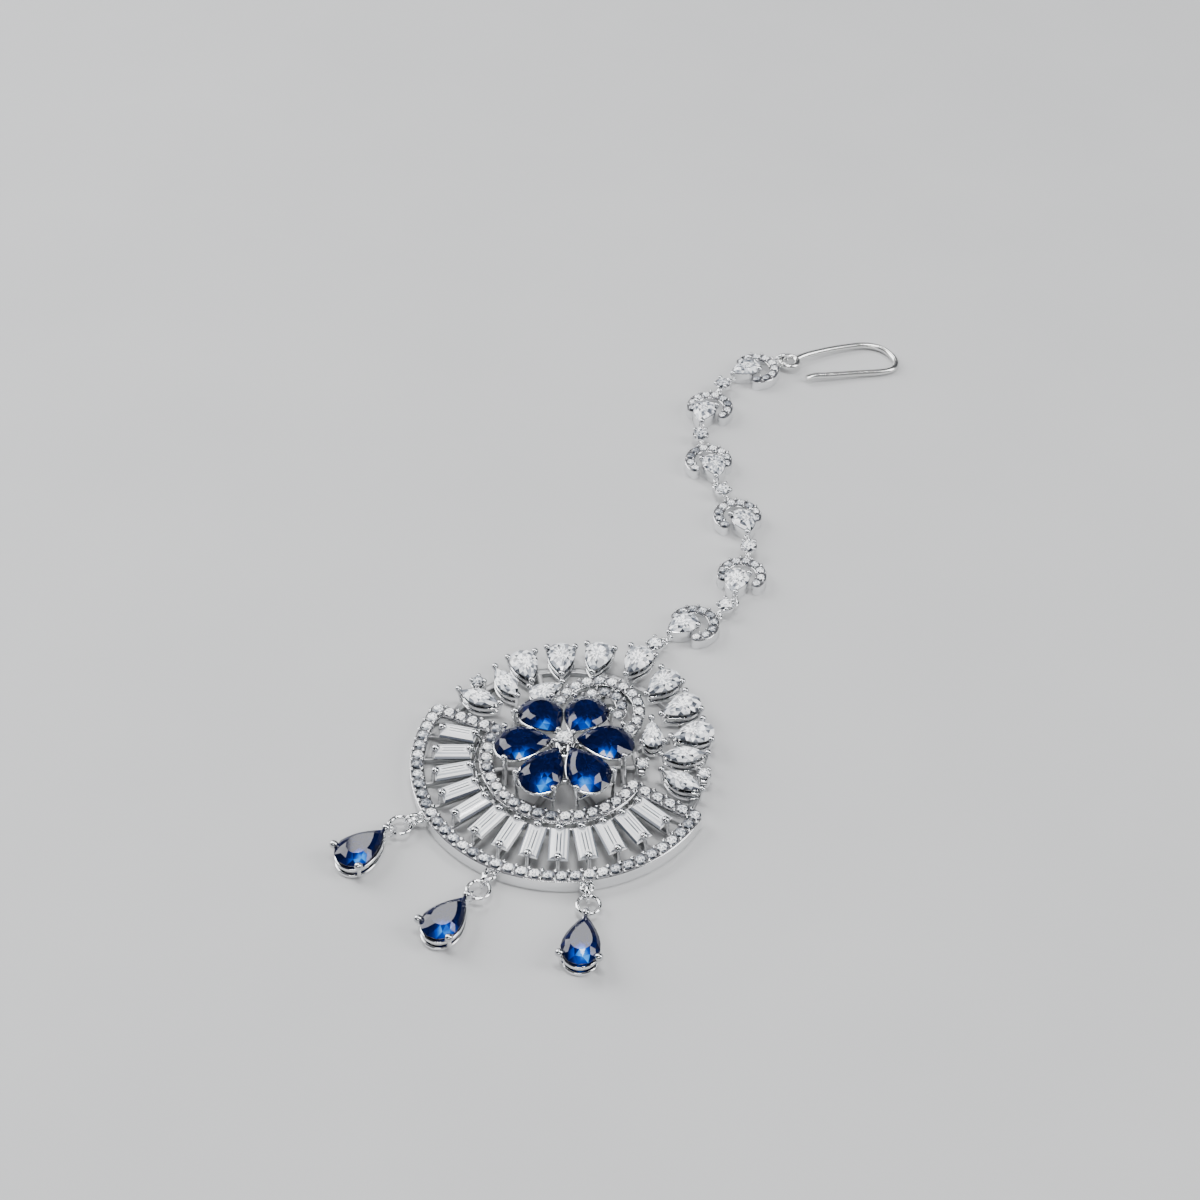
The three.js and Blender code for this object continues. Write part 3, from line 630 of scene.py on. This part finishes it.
def in_place(name, meshes, finish):
    """One piece of several stones, each moved to its place in millimetres. A stone's painted glow
    is on the side towards the fan and +X, where the light that came in at the back leaves it."""
    points = []
    faces = []
    flashes = []
    glows = []
    for mesh, matrix in meshes:
        first = len(points)
        corners = [vertex.co / MM for vertex in mesh.vertices]
        half_width = max(corner.y for corner in corners)
        for corner in corners:
            offset = matrix.to_3x3() @ corner
            toward = (0.5 * offset.x - 0.86 * offset.y) / half_width
            aside = abs(0.86 * offset.x + 0.5 * offset.y) / half_width
            glows.append(min(1.0, max(0.0, (toward - 0.35) / 0.5)) * max(0.0, 1 - aside / 0.8))
        points.extend(matrix @ corner for corner in corners)
        faces.extend(tuple(first + corner for corner in face.vertices) for face in mesh.polygons)
        flashes.extend(value.value for value in mesh.attributes["flash"].data)
    whole = new_mesh(name, points, [], faces)
    give(whole, "flash", "FACE", flashes)
    give(whole, "glow", "POINT", glows)
    give(whole, "shift", "FACE", [0.5] * len(faces))
    whole.materials.append(finish)
    piece = new_object(name, whole)
    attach(piece, "root")
    return piece


# Prong heads are painted a darker grey than the plate, painted shade that sets them off against
# the white stones, and the work at the back is left satin and painted darker still, as painted
# shade for the shadow it lies in
prong_metal, prong_shader, start = new_finish("shaded_prong", 0.15, 1.0)
prong_shader.inputs["Base Color"].default_value = (0.58, 0.59, 0.61, 1)
shaded_satin, satin_shader, start = new_finish("shaded_satin_back", 0.38, 1.0)
satin_shader.inputs["Base Color"].default_value = (0.42, 0.425, 0.435, 1)
ball = bead_mesh("ball", 8, 14, 0.95)
fan_ball_size = 1.22
fan_ball_z = 0.66
prong_foot = baguette_length / 2 + 0.5
prong_low = -1.6
prong_high = 0.55
strut_z = -1.7
strut_ends = (-4.6, 4.7)
strut_width = 0.6
baguettes = []
strut_paths = []
prong_paths = []
prong_balls = []
for index in range(baguette_count):
    angle = 270 + (index - (baguette_count - 1) / 2) * baguette_pitch
    place = polar(baguette_radius, angle, baguette_top, 0, fan_slope)
    baguettes.append((baguette_mesh("baguette", 20 + index), place))
    strut_paths.append(bar(place, (strut_ends[0], 0, strut_z), (strut_ends[1], 0, strut_z)))
    for side in (-1, 1):
        prong_paths.append(bar(place, (side * prong_foot, 0, prong_low),
                               (side * (prong_foot - 0.35), 0, prong_high)))
        prong_balls.append((place @ spot(side * (prong_foot - 0.7), 0, fan_ball_z),
                            fan_ball_size))


def numbered(name, count):
    """Names of the CAD nodes that are numbered from 1."""
    return ["%s_%d" % (name, index + 1) for index in range(count)]


fan_stones = in_place("fan_baguettes", baguettes, crystal)
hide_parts(*numbered("baguette", baguette_count))
rail("fan_struts", strut_paths, strut_width, strut_width, 0.1, finish=shaded_satin)
wire("fan_prongs", prong_paths, 0.24)
set_shapes_at("fan_prong_balls", prong_balls, ball, prong_metal)
gallery_radius = baguette_radius - baguette_length / 2 - 0.35
wire("fan_gallery", [arc(gallery_radius, 188, 352, inner_rim_top - 0.85, 48)], 0.16)

# Flower of six blue pears
# Deep blue pears, point inwards, stand high over the back on long posts with ball heads. The
# posts rise from feet across the spokes of a flat hub, with a wire between each pair.
sapphire, sapphire_shader, start = new_finish("blue_stone", 0.035)
sapphire_shader.inputs["IOR"].default_value = 1.5
own_flash = start.own("flash")
depth = start.node("ShaderNodeTexCoord", output="Object").cloud(300.0, 1.0)
# The blue is painted light: each facet's painted flash, a little noise and the painted glow where
# light leaves the stone, through a ramp from near black to bright blue
blue_flash = own_flash * 0.2 + depth * 0.2 + start.own("glow") * (0.5 + own_flash * 0.3)
blue_flash.ramp([
    (0.0, (0.0006, 0.0012, 0.007, 1)), (0.24, (0.001, 0.0034, 0.03, 1)),
    (0.42, (0.0014, 0.007, 0.075, 1)), (0.66, (0.003, 0.045, 0.42, 1)),
    (0.88, (0.03, 0.32, 0.98, 1)),
]).feed(sapphire_shader.inputs["Base Color"])


def pear_outline(length, width, grow=0.0, steps=5):
    """A pear seen from above, its tip towards -X, drawn outwards by grow."""
    radius = width / 2
    shares = [step / steps for step in range(steps)]
    flank = [(-length / 2 + (length - radius) * share,
              radius * math.sin(share * math.pi / 2) ** 0.9) for share in shares]
    turns = [-math.pi / 2 + math.pi * step / (steps + 1) for step in range(steps + 2)]
    rounded = [(length / 2 - radius + radius * math.cos(turn), radius * math.sin(turn))
               for turn in turns]
    points = [(x, -y) for x, y in flank] + rounded + [(x, y) for x, y in flank[:0:-1]]
    long_share = 1 + 2 * grow / length
    wide_share = 1 + 2 * grow / width
    return [(x * long_share, y * wide_share) for x, y in points]


def hoop(place, outline, z):
    """A closed path along a flat outline, at a height of a place."""
    return [place @ Vector((x, y, z)) for x, y in outline], True


cut_crown = 0.17
cut_pavilion = 0.36
cut_table = 0.56


def pear_mesh(name, length, width, seed):
    """A cut pear, deepest under the middle of its round end."""
    return stone_mesh(name, pear_outline(length, width), width * cut_crown,
                      width * cut_pavilion, cut_table, (length - width) / 2, seed)


petal_count = 6
petal_length = 8.0
petal_width = 6.0
petal_height = 6.2
petal_tilt = 8.0
petal_ball_size = 0.95
petal_middle = 1.7 + petal_length / 2 * math.cos(math.radians(petal_tilt))
foot_radius = petal_middle + 0.62 * petal_length / 2
foot_reach = 0.9 * petal_width / 2
foot_end = foot_reach + 0.22
gallery_end = foot_reach + 0.25
gallery_z = petal_height - 2.3
spoke_width = 0.9
spoke_height = 0.8
back_rail_radius = 10.2
petals = []
petal_rims = []
spoke_paths = []
foot_paths = []
gallery_paths = []
post_paths = []
post_balls = []
for index in range(petal_count):
    angle = 30 + 60 * index
    place = polar(petal_middle, angle, petal_height, 0, petal_tilt)
    petals.append((pear_mesh("petal", petal_length, petal_width, 40 + index), place))
    petal_rims.append(hoop(place, pear_outline(petal_length, petal_width, -0.02, 8), -0.34))
    reach = inner_rim_radius if angle > 180 else back_rail_radius
    spoke_paths.append(bar(polar(0, angle, spoke_height / 2), (0, 0, 0), (reach, 0, 0)))
    across = polar(foot_radius, angle, 0, 90)
    foot_paths.append(bar(across, (-foot_end, 0, spoke_height / 2),
                          (foot_end, 0, spoke_height / 2)))
    gallery_paths.append(bar(across, (-gallery_end, 0, gallery_z), (gallery_end, 0, gallery_z)))
    for side in (-1, 1):
        post_paths.append(bar(across, (side * foot_reach, 0, 0.7),
                              (side * (foot_reach + 0.4), 0, petal_height)))
        head = across @ Vector((side * foot_end, 0, petal_height + 0.22))
        post_balls.append((spot(*head), petal_ball_size))
petal_stones = in_place("petals", petals, sapphire)
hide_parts(*numbered("petal", petal_count))
rail("flower_spokes", spoke_paths, spoke_width, spoke_height, 0.12, finish=shaded_satin)
rail("flower_feet", foot_paths, spoke_width, spoke_height, 0.12, finish=shaded_satin)
wire("flower_gallery", gallery_paths, 0.2)
rail("petal_rims", petal_rims, 0.3, 0.5, 0.1)
wire("flower_posts", post_paths, 0.26)
set_shapes_at("flower_balls", post_balls, ball, prong_metal)

# Centre of the flower
# A small clear round in a cup with ball prongs, on a stem that stands on the hub. The cup's lip
# lies over the tips of the petals and holds them.
hub_radius = 2.4
cup_z = 5.2
centre_z = 7.3
centre_size = 2.3
rail("flower_hub", [arc(hub_radius / 2, 0, 360, spoke_height / 2, 32)], hub_radius, spoke_height,
     0.1)
wire("flower_stem", [([(0, 0, 0.2), (0, 0, petal_height - 0.1)], False)], 0.8)
rail("flower_cup", [arc(1.0, 0, 360, cup_z, 24)], 1.96, 0.6, 0.2)
centre_mesh = stone_mesh("centre", round_outline(centre_size, 12), 0.4, 0.8, cut_table, 0, 5)
centre_stone = in_place("centre_round", [(centre_mesh, spot(0, 0, centre_z))], crystal)
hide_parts("centre_stone")
cup_paths = []
cup_balls = []
for index in range(4):
    post = polar(1.49, 60 + 90 * index, 0)
    cup_paths.append(bar(post, (0, 0, cup_z), (0.05, 0, centre_z)))
    cup_balls.append((post @ spot(-0.05, 0, centre_z), 0.85))
wire("centre_prongs", cup_paths, 0.24)
set_shapes_at("centre_balls", cup_balls, ball, prong_metal)

# Crescent and inner arch
# Under the upper petal a crescent of small stones opens downwards, with a smaller arch inside it.
# A short bridge joins the two, and posts come down to the back.
crescent_low = inner_rim_top - inner_rim_height
crescent_radius = 5.65
crescent_middle = 10.0
# Radius, place of the centre on the axis, and degrees to each side, for the crescent and the arch
arches = [(crescent_radius, crescent_middle, 105), (2.85, 10.7, 100)]
arch_margin = 4
arch_stone = 1.5
arch_width = 1.7
bridge_z = crescent_low + 0.5
arch_paths = []
arch_stones = []
arch_beads = []
for radius, centre, span in arches:
    arch_paths.append(arc(radius, 90 - span, 90 + span, inner_rim_top - inner_rim_height / 2, 40,
                          (0, centre)))
    stones, beads = pave_row(radius, 90 - span + arch_margin, 90 + span - arch_margin,
                             inner_rim_top, pave_pitch, arch_stone, 0.62, (0, centre))
    arch_stones += stones
    arch_beads += beads
rail("crescent_rails", arch_paths, arch_width, inner_rim_height, 0.14, 3, True)
set_pave("crescent", (arch_stones, arch_beads))
rail("crescent_bridge", [([(0, 13.4, bridge_z), (0, 15.8, bridge_z)], False)], 1.0, 1.0, 0.12)
crescent_posts = []
for heading in (90, 195, -15):
    foot = spot(0, crescent_middle, 0) @ polar(crescent_radius, heading, 0)
    crescent_posts.append(bar(foot, (0, 0, 0), (0, 0, crescent_low + 0.1)))
wire("crescent_posts", crescent_posts, 0.5)

# Back rails of the crown
# Plain flat rails behind the crown, soldered to the fan's ends, carry the crown's settings. A
# spoke on the axis and one on each side join them.
back_height = 0.9
outer_back_radius = 18.6
back_paths = [arc(outer_back_radius, 0, 180, back_height / 2, 60),
              arc(back_rail_radius, 0, 60, back_height / 2, 16),
              arc(back_rail_radius, 120, 180, back_height / 2, 16)]
rail("back_rails", back_paths, 1.0, back_height, 0.1, finish=shaded_satin)
back_spokes = [([(0, 0, spoke_height / 2), (0, outer_back_radius, spoke_height / 2)], False)]
for heading in (49.4, 130.6):
    back_spokes.append(bar(polar(0, heading, spoke_height / 2), (back_rail_radius, 0, 0),
                           (outer_back_radius, 0, 0)))
rail("back_spokes", back_spokes, spoke_width, spoke_height, 0.1, finish=shaded_satin)

# Crown of clear stones
# Pears, marquises and small rounds stand side by side round the upper half. Each has a wall under
# its edge and ball prongs that come over it.
crown_radius = 21.3
crown_height = 2.9
# Kind, radius as a share of the crown's, degrees off the axis, and the tip's heading
crown_stones = [
    ("pear", 1, 0, 180), ("pear", 0.932, 15.2, 180), ("pear", 0.894, 30.3, 180),
    ("pear", 0.869, 46.4, 180), ("marquise", 0.777, 58.8, 180), ("marquise", 0.775, 75.2, 161),
    ("small_pear", 0.613, 40.6, 71), ("round", 0.904, 68.4, 0), ("round", 0.502, 64.8, 0),
]
crown_sizes = {"pear": (6.0, 4.0), "marquise": (6.0, 3.0), "small_pear": (5.0, 3.0)}
wall_levels = (0.85, 1.95)
round_top = 2.6


def marquise_outline(length, width, grow=0.0, steps=6):
    """A boat shape seen from above, drawn outwards by grow."""
    points = []
    for side in (-1, 1):
        for step in range(steps):
            share = -1 + 2 * step / steps
            points.append((-side * share * (length / 2 + grow),
                           side * (width / 2 + grow) * (1 - share * share)))
    return points


wall_paths = []
prong_paths = []
prong_balls = []
crown_meshes = []
round_stones = []
cup_paths = []


def pear_prongs(length, width):
    """Where a pear's prongs stand: one at its tip and two at its round end."""
    return [(-length / 2, 0), (0.62 * length / 2, 0.9 * width / 2),
            (0.62 * length / 2, -0.9 * width / 2)]


def add_prongs(place, spots, length, width, foot, girdle, head_size=1.0):
    """Leaning posts and ball heads just outside a stone's edge."""
    for x, y in spots:
        away = Vector((x * width, y * length, 0)).normalized()
        edge = Vector((x, y, 0))
        prong_paths.append(bar(place, edge - away * 0.05 + Vector((0, 0, foot)),
                               edge + away * 0.36 + Vector((0, 0, girdle + 0.1))))
        head = place @ (edge + away * 0.26 + Vector((0, 0, girdle + 0.2)))
        prong_balls.append((spot(*head), head_size))


for number, (kind, share, off_axis, turn) in enumerate(crown_stones):
    for side in ((0,) if off_axis == 0 else (1, -1)):
        facing_turn = -turn if side < 0 else turn
        place = polar(share * crown_radius, 90 - side * off_axis, 0, facing_turn + 180)
        if kind == "round":
            round_stones.append((place @ spot(0, 0, crown_height - 0.35), 1.75))
            for cup_z, cup_width in ((0.7, 1.44), (1.85, 1.68)):
                cup_paths.append(hoop(place, round_outline(cup_width, 16), cup_z))
            for index in range(4):
                post = place @ polar(0.86, 45 + 90 * index, 0)
                prong_paths.append(bar(post, (0, 0, 0.6), (0.1, 0, round_top)))
                prong_balls.append((post @ spot(0.08, 0, round_top + 0.02), 0.7))
            continue
        length, width = crown_sizes[kind]
        if kind == "marquise":
            outline = marquise_outline
            spots = [(-length / 2, 0), (length / 2, 0)]
            mesh = stone_mesh("marquise", outline(length, width), width * cut_crown,
                              width * cut_pavilion, cut_table, 0, 60 + number * 2 + side)
        else:
            outline = pear_outline
            spots = pear_prongs(length, width)
            mesh = pear_mesh("crown_pear", length, width, 60 + number * 2 + side)
        crown_meshes.append((mesh, place @ spot(0, 0, crown_height)))
        for wall_z in wall_levels:
            wall_paths.append(hoop(place, outline(length, width, -0.3, 12), wall_z))
        add_prongs(place, spots, length, width, 0.7, crown_height)
crown_clear = in_place("crown_stones", crown_meshes, crystal)
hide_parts(*numbered("crown_pear", 7), *numbered("crown_marquise", 4),
            *numbered("crown_small_pear", 2))
rail("crown_walls", wall_paths, 0.5, 0.5, 0.12)
rail("crown_cups", cup_paths, 0.44, 0.44, 0.12)
wire("crown_prongs", prong_paths, 0.25)
set_shapes_at("crown_balls", prong_balls, ball, prong_metal)
set_shapes_at("crown_rounds", round_stones, pave_stone, crystal)

# Drops
# Three blue pears hang from the outer rim and lie on the surface, each by a fixed loop, an
# upright ring and a flat ring with a cut in it, and an eye on the pear's own setting.
drop_length = 8.0
drop_width = 5.2
drop_height = 2.6
loop_radius = 0.75
link_radius = 1.08
ring_radius = 1.5
ring_gap = 0.15
drop_wire = 0.3
drop_ball_size = 1.2
eye_radius = 0.85
drop_loop_height = link_radius + drop_wire
drop_start = outer_rim_radius + rim_width / 2 + loop_radius - drop_wire
# Name, place on the rim, heading of the rings and heading of the pear
drops = [("left", 235, 236, 252), ("middle", 272, 270, 262), ("right", 307, 303, 291)]


def circle(place, radius, steps=24, upright_ring=False):
    """A closed round path about a place, flat or standing along its heading."""
    return [place @ Vector((x, 0, y) if upright_ring else (x, y, 0))
            for x, y in round_outline(2 * radius, steps)], True


def ahead(start, heading, reach):
    """The point at a reach from another, on a heading."""
    turn = math.radians(heading)
    return Vector((start[0] + reach * math.cos(turn), start[1] + reach * math.sin(turn)))


drop_loops = []
for name, rim, rings, pear in drops:
    hole = ahead((0, 0), rim, drop_start)
    drop_loops.append(circle(spot(hole.x, hole.y, drop_loop_height, rim), loop_radius))
    link = ahead(hole, rings, link_radius)
    link_piece = wire("drop_upright_" + name, [circle(
        spot(link.x, link.y, drop_loop_height, rings), link_radius, 24, True)], drop_wire)
    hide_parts("drop_link_" + name)
    flat = ahead(link, rings, link_radius - 2 * drop_wire - ring_gap + ring_radius)
    cut_ring = arc(ring_radius, 64, 410, 0, 36)[0]
    flat_place = spot(flat.x, flat.y, drop_loop_height, rings)
    ring_piece = wire("drop_flat_" + name, [([flat_place @ Vector(point) for point in cut_ring],
                                             False)], drop_wire)
    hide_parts("drop_ring_" + name)
    eye_reach = drop_length / 2 + eye_radius + 0.1
    middle = ahead(flat, pear, ring_radius + ring_gap + eye_reach)
    place = spot(middle.x, middle.y, 0, pear)
    wall_paths = [hoop(place, pear_outline(drop_length, drop_width, -0.3, 16), wall_z)
                  for wall_z in (0.3, 1.6)]
    prong_paths = []
    prong_balls = []
    add_prongs(place, pear_prongs(drop_length, drop_width), drop_length, drop_width, 0.3,
               drop_height, drop_ball_size)
    basket = rail("drop_basket_" + name, wall_paths, 0.6, 0.6, 0.16, 3)
    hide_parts("drop_setting_" + name)
    wire("drop_prongs_" + name, prong_paths, 0.27)
    wire("drop_eye_" + name, [circle(
        place @ spot(-eye_reach, 0, drop_loop_height), eye_radius, 20, True)], 0.25)
    set_shapes_at("drop_balls_" + name, prong_balls, ball, prong_metal)
    stone = in_place("drop_pear_" + name, [(
        pear_mesh("drop_pear", drop_length, drop_width, 80 + rim),
        place @ spot(0, 0, drop_height))], sapphire)
    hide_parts("drop_stone_" + name)
wire("drop_loops", drop_loops, drop_wire)

# Chain
# Small four-pronged rounds and crescent links follow each other, hooked loop through ring. A
# link is a round-ended crescent of small stones about a clear pear that points to the pendant.
chain_pitch = 13.3
connector_ring = 1.2
connector_top = 2.1
connector_stone = 2.15
connector_cup = 0.9
connector_cup_z = 1.58
chain_ring_radius = 0.65
chain_loop_radius = 0.6
chain_wire = 0.2
chain_loop_height = chain_ring_radius + chain_wire
connector_reach = connector_ring + chain_ring_radius
link_reach = (chain_pitch - 2 * connector_reach) / 2
halo_radius = 2.9
halo_width = 1.6
halo_height = 1.7
halo_end = 119
halo_pitch = 1.42
halo_stone = 1.3
halo_bead_aside = 0.58
halo_rim = 0.5
halo_outer = halo_radius + halo_width / 2
halo_centre = link_reach - halo_rim - halo_outer
link_length = 5.2
link_width = 3.7
link_top = 2.1
link_ball_size = 0.95
pear_x = link_reach - halo_rim - halo_width - 1.3 - link_length / 2
hook_ring_radius = 1.2
hook_ring_wire = 0.25
last_ring = halo_centre + halo_outer + hook_ring_radius - hook_ring_wire
chain_start = crown_radius + 3.0 + chain_loop_radius - 0.3
# Headings of the connectors and the links in turn, and the side that each link's pear lies to
chain_route = [78, 62, 76, 104, 112, 136, 142, 132, 120, 100, 90, 56]
pear_sides = [1, 1, -1, -1, 1, 1]
link_count = len(pear_sides)
pivot = Vector((0, chain_start))
chain_loops = [circle(spot(0, chain_start, chain_loop_height), chain_loop_radius)]
connector_rings = []
connector_cups = []
connector_stones = []
halo_paths = []
halo_end_paths = []
halo_stones = []
halo_beads = []
cup_paths = []
neck_paths = []
link_stones = []
prong_paths = []
prong_balls = []
for index, heading in enumerate(chain_route):
    is_link = index % 2 == 1
    reach = link_reach if is_link else connector_reach
    middle = ahead(pivot, heading, reach)
    place = spot(middle.x, middle.y, 0, heading)
    if not is_link:
        for side in (-1, 1):
            connector_rings.append(circle(
                place @ spot(side * connector_ring, 0, chain_loop_height), chain_ring_radius, 20,
                True))
        connector_cups.append(circle(place @ spot(0, 0, connector_cup_z), connector_cup, 20))
        connector_stones.append((place @ spot(0, 0, connector_top - 0.1), connector_stone))
        for quarter in range(4):
            post = place @ polar(1.08, 45 + 90 * quarter, 0)
            prong_paths.append(bar(post, (-0.1, 0, 1.3), (0.12, 0, connector_top)))
            prong_balls.append((post @ spot(0.1, 0, connector_top), 0.72))
        pivot = ahead(middle, heading, reach)
        continue
    number = index // 2
    halo = arc(halo_radius, -halo_end, halo_end, halo_height / 2, 36, (halo_centre, 0))[0]
    halo_paths.append(([place @ Vector(point) for point in halo], False))
    for x, y, z in (halo[0], halo[-1]):
        halo_end_paths.append(bar(place, (x, y, 0.02), (x, y, halo_height - 0.01)))
    stones, beads = pave_row(halo_radius, -halo_end, halo_end, halo_height, halo_pitch,
                             halo_stone, halo_bead_aside, (halo_centre, 0))
    halo_stones += [(place @ matrix, share) for matrix, share in stones]
    halo_beads += [(place @ matrix, share) for matrix, share in beads]
    pear_place = place @ spot(pear_x, pear_sides[number] * 0.5, 0)
    cup_paths.append(hoop(pear_place, pear_outline(link_length, link_width, -0.3), link_top / 2))
    link_stones.append((pear_mesh("link_pear", link_length, link_width, 90 + number),
                        pear_place @ spot(0, 0, link_top)))
    neck_paths.append(bar(place, (-link_reach + chain_loop_radius, 0, chain_loop_height),
                          (pear_x - link_length / 2 + 0.5, 0, chain_loop_height)))
    for x, y in pear_prongs(link_length, link_width)[1:]:
        post = pear_place @ spot(x, y, 0)
        prong_paths.append(bar(post, (0, 0, 1.8), (0, 0, link_top + 0.35)))
        prong_balls.append((post @ spot(0, 0, link_top + 0.38), link_ball_size))
    tip = place @ spot(-link_reach + chain_loop_radius + 0.22, 0, 0)
    prong_paths.append(bar(tip, (0, 0, 0.7), (0.05, 0, link_top + 0.2)))
    prong_balls.append((tip @ spot(0.08, 0, link_top + 0.2), link_ball_size))
    chain_loops.append(circle(place @ spot(-link_reach, 0, chain_loop_height), chain_loop_radius))
    if number == link_count - 1:
        hook_ring = circle(place @ spot(last_ring, 0, hook_ring_radius + hook_ring_wire),
                           hook_ring_radius, 28, True)
        pivot = ahead(middle, heading, last_ring)
    else:
        chain_loops.append(circle(place @ spot(link_reach, 0, chain_loop_height),
                                  chain_loop_radius))
        pivot = ahead(middle, heading, reach)
halos = rail("link_halos", halo_paths, halo_width, halo_height, 0.14, 3, True)
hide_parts(*numbered("chain_link", link_count))
halo_end_width = halo_width - 0.02
rail("link_halo_ends", halo_end_paths, halo_end_width, halo_end_width, 0.78, 4, True)
set_pave("link_halo", (halo_stones, halo_beads))
rail("link_cups", cup_paths, 0.7, link_top, 0.14)
rail("link_necks", neck_paths, 0.6, 0.4, 0.1)
in_place("link_pears", link_stones, crystal)
wire("chain_prongs", prong_paths, 0.25)
set_shapes_at("chain_balls", prong_balls, ball, prong_metal)
wire("chain_loops", chain_loops, chain_wire)
connectors = rail("connector_cups", connector_cups, 0.74, 0.64, 0.1)
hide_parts(*numbered("connector", link_count))
wire("connector_rings", connector_rings, chain_wire)
set_shapes_at("connector_stones", connector_stones, pave_stone, crystal)
wire("hook_ring", [hook_ring], hook_ring_wire)

# Hook
# One length of plain round wire: an eye on the last ring, a long arm, a wide bend and a shorter
# arm with a free end. It leans from the ring down to the surface.
hook_plate, hook_shader, start = new_finish("brushed_plate", 0.25, 1.0)
hook_shader.inputs["Base Color"].default_value = (0.80, 0.80, 0.79, 1)
hook_length = 17.8
hook_width = 7.2
hook_wire = 0.5
hook_eye_radius = 1.35
hook_heading = 34
hook_outline = [
    (0.07, 0.09), (0.15, 0.2), (0.37, 0.38), (0.6, 0.5), (0.72, 0.53), (0.84, 0.46), (0.93, 0.28),
    (0.98, 0.02), (0.98, -0.2), (0.93, -0.36), (0.84, -0.43), (0.6, -0.47), (0.36, -0.51),
    (0.19, -0.53), (0.12, -0.6),
]


def smooth_path(points, steps):
    """Points along a smooth curve through the given ones."""
    path = []
    last = len(points) - 1
    for index in range(last):
        a, b = points[max(index - 1, 0)], points[index]
        c, d = points[index + 1], points[min(index + 2, last)]
        away = (b - a).length ** 0.5 if index > 0 else (c - b).length ** 0.5
        stride = (c - b).length ** 0.5
        beyond = (d - c).length ** 0.5 if index + 2 <= last else stride
        first_pull = (b - a) / away - (c - a) / (away + stride) + (c - b) / stride
        if index == 0:
            first_pull = (c - b) / stride
        second_pull = (c - b) / stride - (d - b) / (stride + beyond) + (d - c) / beyond
        if index + 2 > last:
            second_pull = (c - b) / stride
        for step in range(steps):
            t = step / steps
            path.append(
                b * (2 * t ** 3 - 3 * t ** 2 + 1) + first_pull * stride * (t ** 3 - 2 * t ** 2 + t)
                + c * (3 * t ** 2 - 2 * t ** 3) + second_pull * stride * (t ** 3 - t ** 2))
    return path + [points[-1]]


eye = ahead(pivot, hook_heading, hook_eye_radius)
hook_lift = hook_ring_wire * 2 + hook_wire + 0.2
hook_lean = math.degrees(math.asin((hook_lift - hook_wire) / hook_length))
hook_place = spot(eye.x, eye.y, hook_lift, hook_heading, hook_lean)
hook_points = [Vector((x * hook_length, y * hook_width, 0)) for x, y in hook_outline]
hook_path = [hook_place @ point for point in smooth_path(hook_points, 6)]
hook = wire("hook_wire", [(hook_path, False), circle(hook_place, hook_eye_radius, 28)], hook_wire,
            hook_plate)
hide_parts("hook")
